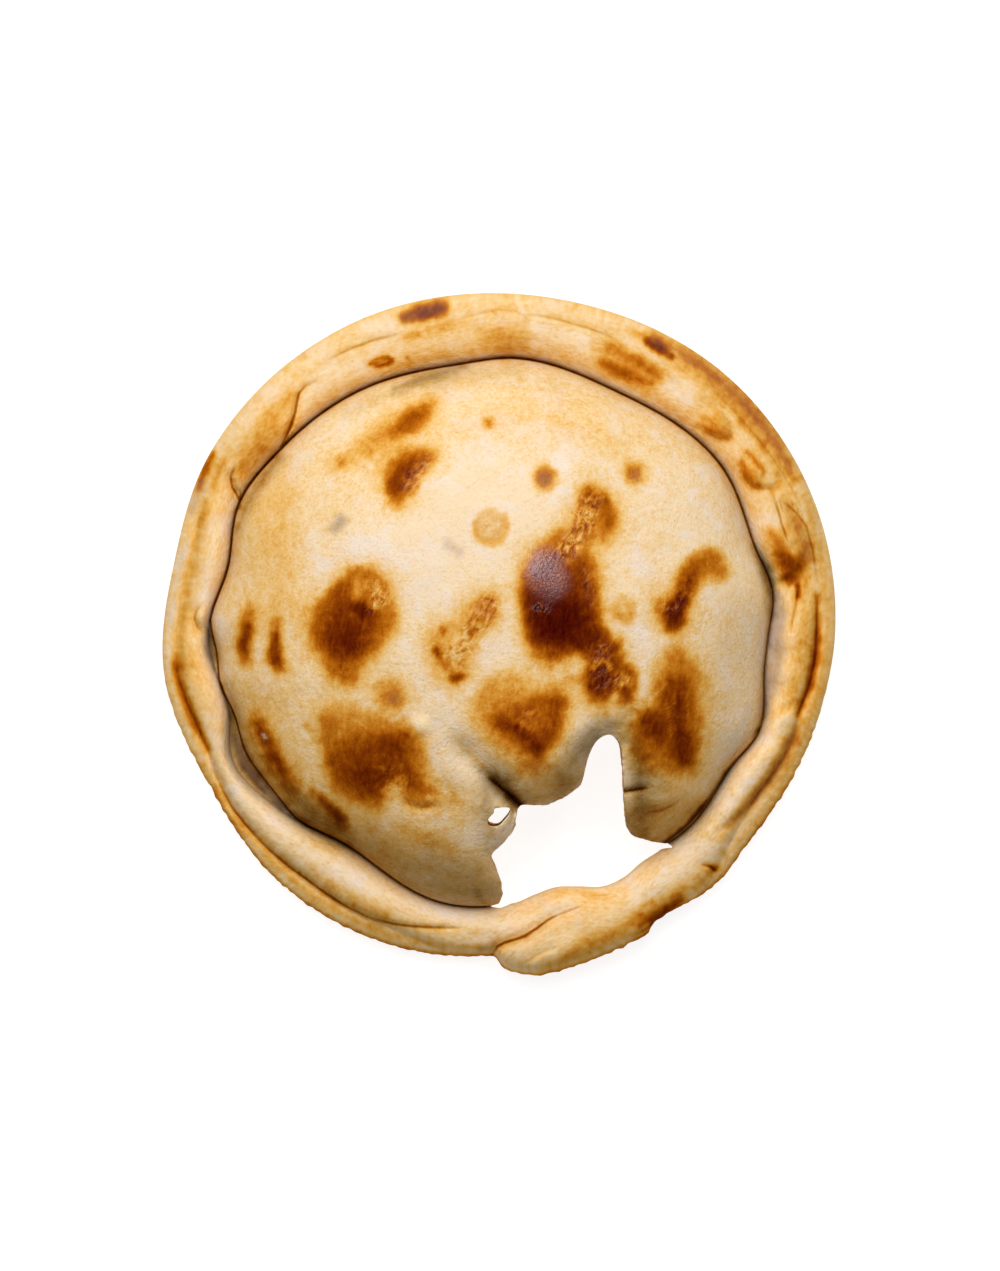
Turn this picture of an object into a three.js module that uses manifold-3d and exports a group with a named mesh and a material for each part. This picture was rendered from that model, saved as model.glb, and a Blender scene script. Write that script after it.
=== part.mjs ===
// A round baked empanada: a domed dough pocket with a folded, pleated rim and a torn mouth at its front.
// It is one solid. Millimetres and degrees, +Z up, -Y towards the mouth, angles anticlockwise from +X.
import * as THREE from "three";
import { ParametricGeometry } from "three/addons/geometries/ParametricGeometry.js";
import { mergeVertices } from "three/addons/utils/BufferGeometryUtils.js";
import Module from "manifold-3d";

const wasm = await Module();
wasm.setup();

// Heights of the pocket and its rim.
const PEAK = 36; // top of the dome
const SEAT = 5; // bottom of the crevice between dome and rim
const POCKET_FLOOR = 2.5; // bottom of a gap where the rim stands off the dome
const HEM = 6.2; // top of the low outer bend of the rim
const EDGE = 2.6; // height of the rim's widest line

// Fullness of the curved sections.
const DOME_FLANK = 2.3; // higher is a flatter top
const DOME_SHOULDER = 0.56; // lower is a steeper side
const DOME_RADIUS = 52; // round plan of the upper dome, which turns into the wavy crevice at its foot
const DOME_WAVE = 5; // higher keeps the crevice's waves closer to the foot
const ROLL_FULLNESS = 2.3; // 2 is an ellipse, higher is boxier
const HEM_START = 0.3; // share of the rim's width where the outer bend begins
const FOOT = [
  { inset: 0.5, height: 1.1 },
  { inset: 1.9, height: 0 },
]; // the rim's underside, from its widest line to the flat base

// Plan outlines, as [angle, radius]: the rim's outer edge and the crevice at its inner edge.
const OUTER_EDGE = [
  [0, 63.7], [25, 65.0], [50, 65.4], [80, 64.6], [118, 65.3], [148, 64.7], [167, 63.1], [187, 63.9],
  [208, 61.8], [228, 62.7], [250, 62.3], [264, 61.4], [271, 63.2], [277, 64.9], [288, 63.7], [299, 62.2],
  [311, 62.6], [328, 61.5], [348, 62.7],
];
const CREVICE = [
  [0, 50.9], [9, 52.4], [20, 51.1], [38, 52.8], [64, 51.1], [86, 52.4], [100, 51.7], [120, 53.2],
  [140, 54.2], [153, 55.1], [166, 52.8], [180, 55.0], [195, 53.0], [206, 56.2], [219, 53.0], [235, 49.0],
  [257, 51.7], [270, 51.1], [283, 48.7], [294, 51.5], [303, 50.5], [316, 51.1], [330, 50.4], [340, 52.4],
  [352, 50.6],
];

// The folded-over roll, as [angle, value]: its top, and the share of the rim's width that it covers.
const ROLL_TOP = [
  [0, 9.0], [11, 8.0], [20, 10.0], [45, 9.5], [70, 9.4], [86, 10.3], [97, 9.3], [125, 9.0], [140, 10.2],
  [151, 8.6], [165, 10.0], [178, 8.7], [192, 10.2], [203, 8.9], [217, 10.0], [240, 11.0], [262, 9.8],
  [273, 10.2], [283, 11.3], [300, 10.8], [320, 10.4], [335, 11.0], [342, 9.3], [352, 9.3],
];
const ROLL_SHARE = [
  [0, 0.82], [18, 0.96], [60, 1.0], [120, 1.0], [150, 0.95], [160, 0.82], [178, 0.78], [198, 0.74],
  [215, 0.78], [240, 0.76], [256, 0.72], [266, 0.92], [278, 1.0], [308, 1.0], [318, 0.8], [330, 0.76],
  [345, 0.78],
];

// Gaps where the rim stands off the dome's foot.
const POCKETS = [
  { angle: 183, halfSpan: 7, depth: 1.2 },
  { angle: 209, halfSpan: 19, depth: 3.6 },
];

// Soft bulges of the dome, as plan place, height and radius.
const BULGES = [
  { x: 8.5, y: -21, rise: 1.8, radius: 7 }, // lobe above the mouth
  { x: -14, y: -36, rise: 1.2, radius: 9 }, // lobe left of the mouth
  { x: 33, y: -27, rise: 1.2, radius: 8 }, // lobe right of the mouth
  { x: -22, y: 22, rise: 0.8, radius: 14 },
  { x: 26, y: 20, rise: -0.7, radius: 12 },
];

// Creases pressed or folded into the dough, as a plan path. Lift raises the side to the left of the path.
const CREASES = [
  { path: [[-11, -18], [-6, -23], [-2, -27], [4, -31.5]], depth: 4, width: 2.6, lift: 1 }, // beside the lobe
  { path: [[22.5, -28.6], [28, -28.4]], depth: 3, width: 2, lift: 0.4 }, // right corner of the mouth
  { path: polar([127, 60.2], [132, 57.4], [140, 54.6]), depth: 1.7, width: 1.6, lift: -0.8 }, // flap
  { path: polar([148, 59.6], [151, 58], [153, 55.2]), depth: 1.7, width: 1.6, lift: 0.6 }, // pleat ends
  { path: polar([175, 58.4], [178, 57.2], [180, 55.2]), depth: 1.2, width: 1.6, lift: 0.4 },
  { path: polar([7, 57.8], [10, 56.2], [10, 52.6]), depth: 1.4, width: 1.6, lift: 0.4 },
  { path: polar([345, 57.6], [343, 55.5], [340, 52.6]), depth: 1.4, width: 1.6, lift: -0.5 },
  { path: polar([267, 60.4], [274, 57.4], [284, 53.6]), depth: 2.2, width: 1.7, lift: -1 }, // crossing ends
];
const CREASE_START = 0.2; // share of its depth that a crease begins with
const CREASE_END = 0.6; // and ends with
const CREASE_RISE = 3; // how fast it reaches its full depth between them
const LIFT_REACH = 2.5; // crease widths over which a lifted side falls back

// The mouth: its dome side, anticlockwise, as plan x, y and the radius of the rounded lip there.
const MOUTH_LIP = [
  [30.3, -39.8, 4], [27.3, -38.7, 5], [24.6, -36.8, 5], [23.5, -33.5, 4], [22.9, -28.6, 3], [22.6, -24, 3],
  [21.9, -20.4, 4], [19.6, -18.6, 5], [17.2, -20.2, 6], [16.1, -23.4, 8], [15.3, -26.8, 9], [12.6, -29.3, 9],
  [9, -31, 9], [4.6, -31.6, 7], [3, -33.6, 4], [1.4, -37.2, 3], [-1, -40.6, 3], [-0.3, -43.6, 3],
  [1.2, -48.4, 3],
];
// Its rim side follows the crevice between two angles, a little inside the roll.
const MOUTH_RIM = { from: 272, to: 307, steps: 7, bite: 0.4 };
const MOUTH_HEART = { x: 13, y: -37 };
const MOUTH_FLARE = 4; // how far the mouth widens under the lips
const MOUTH_LEVELS = [
  { height: PEAK + 4, flare: 0 },
  { height: 13, flare: 0 },
  { height: 8, flare: 0.6 },
  { height: 3, flare: 1 },
  { height: -2, flare: 1 },
];
const MOUTH_SIDES = 72;
const EYELET = { x: 0, y: -34.1, length: 4, width: 2.6, turn: 35, sides: 14 }; // small hole beside the mouth

// Facets.
const SIDES = 156;
const DOME_RINGS = 20;
const RIM_RINGS = 11;
const DOME_RING_DRIFT = 1.3; // higher brings the dome's rings closer together at its foot

const DOUGH = new THREE.MeshStandardMaterial({ color: 0xe3b87c, roughness: 0.55, metalness: 0 });

function polar(...points) {
  return points.map(([angle, radius]) => {
    const turn = THREE.MathUtils.degToRad(angle);
    return [radius * Math.cos(turn), radius * Math.sin(turn)];
  });
}

// A smooth closed function of the angle through its stations.
function around(stations) {
  const count = stations.length;
  const at = (i) => {
    const lap = Math.floor(i / count);
    const [angle, value] = stations[i - lap * count];
    return [angle + 360 * lap, value];
  };
  const slope = (i) => {
    const [before, after] = [at(i - 1), at(i + 1)];
    return (after[1] - before[1]) / (after[0] - before[0]);
  };
  return (angle) => {
    const turned = THREE.MathUtils.euclideanModulo(angle, 360);
    const next = stations.findIndex(([station]) => station > turned);
    const i = (next < 0 ? count : next) - 1;
    const [a0, v0] = at(i);
    const [a1, v1] = at(i + 1);
    const span = a1 - a0;
    const t = (turned - a0) / span;
    const rest = 1 - t;
    const level = v0 * rest * rest * (1 + 2 * t) + v1 * t * t * (3 - 2 * t);
    return level + span * t * rest * (slope(i) * rest - slope(i + 1) * t);
  };
}

const outerEdge = around(OUTER_EDGE);
const crevice = around(CREVICE);
const rollTop = around(ROLL_TOP);
const rollShare = around(ROLL_SHARE);

// Half of a superellipse, 1 in the middle and 0 at -1 and 1.
function arch(x) {
  const side = Math.min(Math.abs(x), 1);
  return (1 - side ** ROLL_FULLNESS) ** (1 / ROLL_FULLNESS);
}

function angleOf(x, y) {
  return THREE.MathUtils.radToDeg(Math.atan2(y, x));
}

// Nearest point of a plan path: its distance, the side (1 is left) and the share of the path before it.
function nearest(path, x, y) {
  let found = { distance: Infinity };
  for (let i = 0; i + 1 < path.length; i++) {
    const [ax, ay] = path[i];
    const [dx, dy] = [path[i + 1][0] - ax, path[i + 1][1] - ay];
    const along = THREE.MathUtils.clamp(((x - ax) * dx + (y - ay) * dy) / (dx * dx + dy * dy), 0, 1);
    const [ox, oy] = [x - ax - along * dx, y - ay - along * dy];
    const distance = Math.hypot(ox, oy);
    if (distance < found.distance) {
      const side = Math.sign(dx * oy - dy * ox);
      found = { distance, side, index: i, along, share: (i + along) / (path.length - 1) };
    }
  }
  return found;
}

// What the creases take from the surface at a plan point.
function creaseDrop(x, y) {
  let drop = 0;
  for (const { path, depth, width, lift } of CREASES) {
    const { distance, side, share } = nearest(path, x, y);
    const fade = Math.min(1, CREASE_RISE * share + CREASE_START, CREASE_RISE * (1 - share) + CREASE_END);
    const fold = Math.exp(-((distance / width) ** 2));
    const raised = lift * side * (1 - fold) * Math.exp(-distance / (LIFT_REACH * width));
    drop += fade * (depth * fold - raised);
  }
  return drop;
}

// How far the rounded lip of the mouth falls away at a plan point.
function lipDrop(x, y) {
  const { distance, index, along } = nearest(MOUTH_LIP, x, y);
  const radius = THREE.MathUtils.lerp(MOUTH_LIP[index][2], MOUTH_LIP[index + 1][2], along);
  const inward = THREE.MathUtils.clamp(1 - distance / radius, 0, 1);
  return radius * (1 - Math.sqrt(1 - inward * inward));
}

// Width of the gap between the dome's foot and the rim.
function pocketGap(angle) {
  return POCKETS.reduce((gap, pocket) => {
    const x = Math.min(1, Math.abs(angle - pocket.angle) / pocket.halfSpan);
    return gap + pocket.depth * (1 - x * x) ** 2;
  }, 0);
}

function domeHeight(x, y) {
  const angle = THREE.MathUtils.euclideanModulo(angleOf(x, y), 360);
  const gap = pocketGap(angle);
  const foot = crevice(angle) - gap;
  const radius = Math.hypot(x, y);
  if (radius >= foot - 1e-6) return THREE.MathUtils.lerp(SEAT, POCKET_FLOOR, Math.min(1, gap));
  const share = radius / THREE.MathUtils.lerp(DOME_RADIUS, foot, (radius / foot) ** DOME_WAVE);
  const fullness = (1 - share ** DOME_FLANK) ** DOME_SHOULDER;
  const bulge = BULGES.reduce(
    (sum, b) => sum + b.rise * Math.exp(-((x - b.x) ** 2 + (y - b.y) ** 2) / (b.radius * b.radius)),
    0,
  );
  const relief = (bulge - creaseDrop(x, y)) * Math.min(1, 2 * fullness) - lipDrop(x, y);
  return Math.max(SEAT, SEAT + (PEAK - SEAT) * fullness + relief);
}

function rimHeight(angle, share) {
  const line = THREE.MathUtils.lerp(SEAT, EDGE, share);
  const roll = (rollTop(angle) - (SEAT + EDGE) / 2) * arch((2 * share) / rollShare(angle) - 1);
  const hem = (HEM - EDGE) * arch((2 * (share - HEM_START)) / (1 - HEM_START) - 1);
  const swell = Math.max(share < rollShare(angle) ? roll : 0, share > HEM_START ? hem : 0);
  return line + swell;
}

// The whole outside, ring by ring: down the dome, over the rim, under its foot and across the flat base.
function pocketSurface(u, v, target) {
  const angle = 360 * (1 - u);
  const turn = THREE.MathUtils.degToRad(angle);
  const ring = Math.round(v * (DOME_RINGS + RIM_RINGS + FOOT.length + 1));
  const rimRing = ring - DOME_RINGS;
  const footRing = rimRing - RIM_RINGS;
  let radius = 0;
  let height = 0;
  if (rimRing <= 0) {
    radius = crevice(angle) * (1 - (1 - ring / DOME_RINGS) ** DOME_RING_DRIFT);
    height = domeHeight(radius * Math.cos(turn), radius * Math.sin(turn));
  } else if (footRing <= 0) {
    const share = (1 - Math.cos((rimRing / RIM_RINGS) * Math.PI)) / 2;
    radius = THREE.MathUtils.lerp(crevice(angle), outerEdge(angle), share);
    const fade = 4 * share * (1 - share);
    height = rimHeight(angle, share) - fade * creaseDrop(radius * Math.cos(turn), radius * Math.sin(turn));
  } else if (footRing <= FOOT.length) {
    radius = outerEdge(angle) - FOOT[footRing - 1].inset;
    height = FOOT[footRing - 1].height;
  }
  target.set(radius * Math.cos(turn), radius * Math.sin(turn), height);
}

// The closed plan outline of the mouth, with a flare weight for each point.
function mouthOutline() {
  const points = MOUTH_LIP.map(([x, y]) => new THREE.Vector3(x, y, 1));
  for (let i = 0; i <= MOUTH_RIM.steps; i++) {
    const angle = THREE.MathUtils.lerp(MOUTH_RIM.from, MOUTH_RIM.to, i / MOUTH_RIM.steps);
    const [[x, y]] = polar([angle, crevice(angle) + MOUTH_RIM.bite]);
    points.push(new THREE.Vector3(x, y, 0));
  }
  return new THREE.CatmullRomCurve3(points, true, "centripetal");
}

const mouthCurve = mouthOutline();

// The space of the mouth, from above the dome to below the base, wider under the lips.
function mouthSurface(u, v, target) {
  const level = Math.round(v * (MOUTH_LEVELS.length + 1)) - 1;
  const { height, flare } = MOUTH_LEVELS[THREE.MathUtils.clamp(level, 0, MOUTH_LEVELS.length - 1)];
  const point = mouthCurve.getPoint((1 - u) % 1);
  const isCap = level < 0 || level >= MOUTH_LEVELS.length;
  const [dx, dy] = [point.x - MOUTH_HEART.x, point.y - MOUTH_HEART.y];
  const reach = isCap ? 0 : 1 + (MOUTH_FLARE * flare * Math.max(0, point.z)) / Math.hypot(dx, dy);
  target.set(MOUTH_HEART.x + reach * dx, MOUTH_HEART.y + reach * dy, height);
}

// A closed geometry as a solid. Facets with no area, as at a pole, are dropped.
function solidOf(geometry) {
  const bare = geometry.clone();
  bare.deleteAttribute("normal");
  bare.deleteAttribute("uv");
  const merged = mergeVertices(bare, 1e-4);
  const corners = merged.index.array;
  const kept = [];
  for (let i = 0; i < corners.length; i += 3) {
    const [a, b, c] = [corners[i], corners[i + 1], corners[i + 2]];
    if (a !== b && b !== c && c !== a) kept.push(a, b, c);
  }
  return new wasm.Manifold(
    new wasm.Mesh({
      numProp: 3,
      vertProperties: merged.attributes.position.array,
      triVerts: new Uint32Array(kept),
    }),
  );
}

function geometryOf(solid) {
  const { vertProperties, triVerts } = solid.getMesh();
  const geometry = new THREE.BufferGeometry();
  geometry.setAttribute("position", new THREE.BufferAttribute(vertProperties, 3));
  geometry.setIndex(new THREE.BufferAttribute(triVerts, 1));
  geometry.computeVertexNormals();
  return geometry;
}

function eyelet() {
  const hole = new THREE.CylinderGeometry(0.5, 0.5, 2 * PEAK, EYELET.sides);
  hole.rotateX(Math.PI / 2);
  hole.scale(EYELET.length, EYELET.width, 1);
  hole.rotateZ(THREE.MathUtils.degToRad(EYELET.turn));
  hole.translate(EYELET.x, EYELET.y, PEAK / 2);
  return hole;
}

// Middle of the outline's plan box, which the finished part has at its origin.
function planCentre() {
  const box = new THREE.Box2();
  for (let angle = 0; angle < 360; angle++) {
    const [[x, y]] = polar([angle, outerEdge(angle)]);
    box.expandByPoint(new THREE.Vector2(x, y));
  }
  return box.getCenter(new THREE.Vector2());
}

const rings = DOME_RINGS + RIM_RINGS + FOOT.length + 1;
const whole = solidOf(new ParametricGeometry(pocketSurface, SIDES, rings));
const mouth = solidOf(new ParametricGeometry(mouthSurface, MOUTH_SIDES, MOUTH_LEVELS.length + 1));
const baked = whole.subtract(mouth).subtract(solidOf(eyelet()));

const pocket = new THREE.Mesh(geometryOf(baked), DOUGH);
pocket.name = "dough_pocket";
const centre = planCentre();
pocket.position.set(-centre.x, -centre.y, 0);

const empanada = new THREE.Group();
empanada.add(pocket);

export default empanada;
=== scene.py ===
"""A round baked empanada: a pale dome with scorched, blistered spots, a folded pleated rim and a torn mouth.

Sizes are millimetres and degrees, angles anticlockwise from +X, and the mouth is towards -Y.
Marks are placed as the eye sees them from above, measured at the level of the table.
"""
import math

import bpy
import numpy as np
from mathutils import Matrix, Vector, noise


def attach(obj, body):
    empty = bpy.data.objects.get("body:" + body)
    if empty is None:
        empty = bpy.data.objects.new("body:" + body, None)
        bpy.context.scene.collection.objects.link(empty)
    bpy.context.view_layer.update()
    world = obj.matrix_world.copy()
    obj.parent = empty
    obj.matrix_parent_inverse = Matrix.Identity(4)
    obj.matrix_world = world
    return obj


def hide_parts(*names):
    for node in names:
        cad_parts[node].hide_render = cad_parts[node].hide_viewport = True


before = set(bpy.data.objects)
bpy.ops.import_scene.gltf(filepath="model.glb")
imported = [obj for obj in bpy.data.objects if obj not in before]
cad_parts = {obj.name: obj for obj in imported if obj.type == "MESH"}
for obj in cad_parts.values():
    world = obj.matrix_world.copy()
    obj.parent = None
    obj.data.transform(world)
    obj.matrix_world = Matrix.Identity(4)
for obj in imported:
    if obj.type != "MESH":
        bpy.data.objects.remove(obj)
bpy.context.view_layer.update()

MM = 0.001
NODE = "dough_pocket"

# Camera: straight above, as far away as its lens needs to frame the height of the picture.
LENS = 180.0
SENSOR = 36.0
FRAME_HEIGHT = 241.5
VIEW_HEIGHT = FRAME_HEIGHT * LENS / SENSOR
AIM = (0.19, -0.1)

# Heights of the pocket and its rim.
PEAK = 36.0
SEAT = 5.0
POCKET_FLOOR = 2.5
HEM = 6.2
EDGE = 2.6

# Fullness of the curved sections.
DOME_FLANK = 2.3
DOME_SHOULDER = 0.56
DOME_RADIUS = 52.0
DOME_WAVE = 5.0
ROLL_FULLNESS = 2.4
ROLL_LEAN = 1.3
HEM_START = 0.3
FOOT_INSET = 2.0

# Plan outlines by angle and radius, and the roll of the rim by angle and height, and by angle and share.
OUTER_EDGE = [
    (0, 63.7), (25, 65.0), (50, 65.4), (80, 64.6), (118, 65.3), (148, 64.7), (167, 63.1), (187, 63.9),
    (208, 61.8), (228, 62.7), (250, 62.3), (262, 61.4), (268, 60.9), (269.3, 61.1), (270.3, 62.5),
    (271.6, 63.6), (274, 64.5), (277, 64.9), (283, 64.3), (290, 63.6), (296.6, 63), (298.2, 61.8),
    (303, 61.7), (308, 62.5), (313, 62.4), (321, 61.5), (330, 61.7), (348, 62.7),
]
CREVICE = [
    (0, 50.9), (9, 52.4), (20, 51.1), (38, 52.8), (64, 51.1), (86, 52.4), (100, 51.7), (120, 53.2),
    (140, 54.2), (153, 55.1), (166, 52.8), (180, 55.0), (195, 53.0), (206, 55.7), (219, 52.8), (235, 49.0),
    (257, 51.7), (270, 51.1), (283, 48.7), (294, 51.5), (303, 50.5), (316, 51.1), (330, 50.4), (340, 52.4),
    (352, 50.6),
]
ROLL_TOP = [
    (0, 9.0), (11, 8.0), (20, 10.0), (45, 9.5), (70, 9.4), (86, 10.3), (97, 9.3), (125, 9.0), (140, 10.2),
    (151, 8.6), (165, 10.0), (178, 8.7), (192, 10.2), (203, 8.9), (217, 10.0), (240, 11.0), (262, 9.8),
    (273, 10.2), (283, 11.3), (300, 10.8), (320, 10.4), (335, 11.0), (342, 9.3), (352, 9.3),
]
ROLL_SHARE = [
    (0, 0.76), (18, 0.96), (60, 1.0), (120, 1.0), (148, 0.9), (163, 0.68), (183, 0.66), (196, 0.66),
    (206, 0.58), (212, 0.68), (230, 0.7), (242, 0.74), (252, 0.74), (262, 0.92), (278, 1.0), (305, 1.0),
    (314, 0.8), (324, 0.66), (335, 0.66), (347, 0.7),
]

# Unevenness by amount, size of the lumps and level in the noise, and how fast it fades at the borders.
DOME_LUMPS = [(0.35, 13, 3.0), (0.12, 4.5, 7.0)]
DOME_RELIEF = 2.0
RIM_LUMPS = [(0.3, 7, 11.0), (0.12, 2.6, 17.0)]
RIM_RELIEF = 8.0

# Unevenness of the hem's lower side.
RAGGED_LUMPS = [(0.3, 1.2, 31.0)]
RAGGED_REACH = 25.0

# Gaps where the rim stands off the dome's foot: angle, half span and depth.
POCKETS = [(183, 7, 1.2), (208, 17, 3.0)]

# Step along an arc, and the height at which lines on the rim are seen.
ARC_STEP = 4.0
RIM_LEVEL = 8.0


def plan(height, *points):
    """Plan points, with any further numbers kept, of points seen from above at a height."""
    nearer = 1 - height / VIEW_HEIGHT
    return [(x * nearer, y * nearer, *rest) for x, y, *rest in points]


def polar(angle, radius):
    """Plan place of an angle and a radius."""
    turn = np.radians(angle)
    return radius * np.cos(turn), radius * np.sin(turn)


def rim(*points):
    """Points, with any further numbers kept, along the arcs between points given by angle and radius."""
    fine = []
    for here, there in zip(points, points[1:]):
        parts = max(1, round(abs(there[0] - here[0]) / ARC_STEP))
        fine += [[a + (b - a) * k / parts for a, b in zip(here, there)] for k in range(parts)]
    fine.append(points[-1])
    return [(*polar(angle, radius), *rest) for angle, radius, *rest in fine]


def seam(*points):
    """Plan points of a line on top of the rim."""
    return plan(RIM_LEVEL, *rim(*points))


# Soft bulges: x, y, rise and radius.
DOME_BULGES = [
    (8.5, -21, 1.8, 7),
    (-14, -36, 1.2, 9),
    (-3.5, -31, 0.8, 3.2),
    (31, -30, 1.3, 4),
    (33, -22, 0.6, 6),
    (-14.5, -16.9, 0.9, 1.6),
    (-22, 22, 0.8, 14),
    (26, 20, -0.7, 12),
]
RIM_BULGES = [
    (5, -62, 1.8, 4.5),
    (12, -60, 1.3, 4.5),
    (20, -55, 0.8, 5),
    (3, 57.5, 0.7, 3.2),
    (-55.3, 3.5, 0.9, 1.7),
    (41, 39.2, 0.8, 2.2),
    (48.6, 30.4, 0.8, 2.2),
    (-43, 38.5, 0.5, 4.5),
    (52.5, -16.5, 0.8, 2.6),
    (52.3, -4, -1.3, 2.6),
    (52.5, 3, -1.2, 2.6),
    (52.3, -10, -1.0, 2.4),
]

# Creases: path, depth, width, lift of the side to the left of the path, and darkness of the painted shade
# line in it.
DOME_CREASES = [
    (plan(24, (-10, -18), (-6, -22), (-2.5, -25.5), (1, -28.3), (4, -31.5)), 2.0, 3.2, 0.6, 0.0),
    (plan(22, (-2.6, -26.4), (0, -28.6), (2.2, -30.6), (4.2, -32.5)), 4.0, 0.8, 1.4, 0.9),
    (plan(20, (0.8, -30), (2.8, -31.8), (4.8, -33.4)), 2.5, 1.2, 0.0, 0.3),
    (plan(20, (23.2, -29.6), (25.5, -29.3), (28, -28.9)), 1.2, 0.6, 0.3, 0.7),
    (plan(18, (27.5, -33.6), (30, -33.4), (32, -32.8), (34, -31.6)), 0.9, 1.0, 0.4, 0.2),
    (plan(16, (48, -11), (46.3, -15), (44, -20)), -0.35, 0.7, 0.0, 0.0),
    (plan(26, (-18.2, -30.6), (-16.8, -32.2), (-15, -32.7), (-12, -32.2)), 0.6, 0.6, 0.5, 0.12),
]
RIM_CREASES = [
    # Lines where the rolled dough lies on the hem.
    (seam((150, 62), (156, 61.2), (164, 60.5), (172, 60.7), (180, 61.3), (187, 61.6)), 0.4, 0.8, 0.3, 0.06),
    (seam((185, 61.9), (192, 60.8), (197, 59.9), (202, 59.4)), 0.6, 0.8, 0.3, 0.2),
    (seam(
        (201, 59.4), (206, 60.1), (213, 60.5), (224, 59.8), (232, 59.2), (240, 59.3), (247, 59),
    ), 1.3, 0.6, 0.4, 0.45),
    (seam((244, 59.2), (250, 58.4), (256, 57.1), (262.5, 56)), 0.5, 0.45, 0.15, 0.5),
    (seam((7, 60.8), (2, 60.5), (-5, 60.2), (-10, 59.7), (-15, 58.7)), 1.4, 0.8, -0.4, 0.4),
    (seam((-15, 58.9), (-19, 59.3), (-27, 58.4), (-35, 57.5), (-42, 56)), 0.8, 0.8, -0.3, 0.0),
    (seam((52, 61.8), (40, 61.6), (30, 62), (22, 62.4)), 0.3, 0.6, -0.15, 0.12),
    (seam((85, 61.2), (80, 61), (75, 60.7), (69, 60.5)), 0.4, 0.4, -0.2, 0.2),
    (seam((84.2, 58.6), (85, 60.4), (87, 61.5), (90, 61.8), (94, 61.1), (98, 60.3)), 0.35, 0.5, 0.3, 0.12),
    (seam((122, 61.6), (118, 61.3), (113, 60.9), (109, 60.3)), 0.35, 0.35, 0.15, 0.3),
    # The flap at the upper left and its curled end.
    (seam(
        (126, 59.5), (128, 59.9), (129.6, 59.6), (131, 58.5), (132.5, 57.3), (134.5, 56.2), (137, 55.3),
        (139.5, 54.6), (141.5, 54.2),
    ), 1.2, 0.45, -0.8, 0.6),
    (seam(
        (147.8, 59.5), (149.5, 59.2), (151, 58), (151.8, 56.6), (152.6, 55.6), (153.6, 55),
    ), 1.6, 0.7, 1.0, 0.6),
    # The knob at the left.
    (seam((174.5, 57), (175.6, 57.7), (177, 57.9), (178.6, 57.2), (179.6, 56)), 0.8, 0.6, 0.4, 0.3),
    # Folds and cracks at the right.
    (seam((9.2, 52.3), (10.5, 54.9), (11.3, 57.9), (14.5, 59.9)), 0.4, 1.0, 0.7, 0.0),
    (seam((9.4, 57.6), (7.5, 57.2), (5.5, 56.6), (3, 55.8), (1, 55.4)), 0.6, 0.45, 0.2, 0.3),
    (seam((27, 58.4), (24, 58), (21.5, 57.6), (18.5, 57.6)), 0.5, 0.35, 0.2, 0.45),
    (seam((26, 59), (24, 60.2), (22, 61.2), (19.5, 61.9), (15, 61.8), (10, 61.4)), 0.5, 0.5, -0.3, 0.25),
    (seam((340.4, 52), (343.2, 53.8), (345.3, 55.8), (346.5, 57.6)), 0.7, 0.8, -0.5, 0.0),
    # Outlines of the two raised blisters.
    (seam(
        (49, 59.7), (46, 59.9), (43, 59.4), (41, 58.6), (40, 57.6), (41, 56.5), (43, 55.4), (46, 54.6),
    ), 0.4, 0.6, -0.4, 0.08),
    (seam(
        (35.8, 56.6), (34, 55.5), (31.5, 55.3), (29.6, 56.2), (28.6, 57.8), (28.3, 59.3), (29, 60.6),
    ), 0.4, 0.6, 0.4, 0.08),
    # The crossing ends at the front.
    (seam(
        (268.4, 61.8), (269, 60.4), (269.7, 59.2), (271, 58.4), (273, 57.9), (275, 57.3), (277.2, 56.2),
        (279.4, 55), (281.7, 54.3), (286, 53.7),
    ), 1.7, 0.8, -1.2, 0.7),
    (seam((274, 62.6), (276, 61.4), (278, 60.5), (280.5, 60)), 0.5, 0.5, -0.2, 0.2),
    (seam((280.3, 50.4), (282.8, 50), (286.2, 50.5), (290.2, 52.5), (292.7, 53.4)), 0.6, 0.8, -0.4, 0.05),
    (seam((294.7, 62.6), (297, 62.4), (298.6, 61.8)), 0.7, 0.6, 0.3, 0.3),
    (seam((312.6, 61.2), (312.4, 59.5), (311.4, 58)), 0.5, 0.5, 0.2, 0.35),
]

# Reach of a crease and of its lifted side in widths, and how it starts and ends.
CREASE_REACH = 12.0
LIFT_REACH = 2.5
CREASE_RUN = 3.0
CREASE_START = 0.2
CREASE_END = 0.4

# The mouth: its dome side anticlockwise as x, y and radius of the rounded lip.
MOUTH_LIP = [
    (30.3, -39.6, 4), (27.3, -38.6, 5), (24.4, -36.9, 5), (23.6, -33.5, 3), (23.2, -28.6, 2), (23, -24, 2),
    (22.4, -20.2, 2.5), (20.6, -18.5, 3.5), (18.3, -19.5, 5), (16.7, -22.4, 7), (15.6, -26.8, 8),
    (14.9, -28.2, 9), (12.4, -30, 9), (8.8, -31.6, 9), (4.6, -31.7, 7), (3.2, -33, 3), (2.7, -36, 2.5),
    (1, -38.5, 2.5), (-1.4, -41, 2.5), (-0.5, -44, 2.5), (1.2, -48.8, 2),
]
LIP_ROUND = 0.95

# The rim's side of the mouth, and how the wall flares out below the lips.
MOUTH_RIM = (273, 307)
MOUTH_RIM_STEPS = 8
MOUTH_BITE = 0.4
MOUTH_HEART = (13.0, -37.0)
MOUTH_FLARE = 4.0
MOUTH_SIDES = 330
FLARE_TOP = 16.0
FLARE_RUN = 13.0

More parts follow.
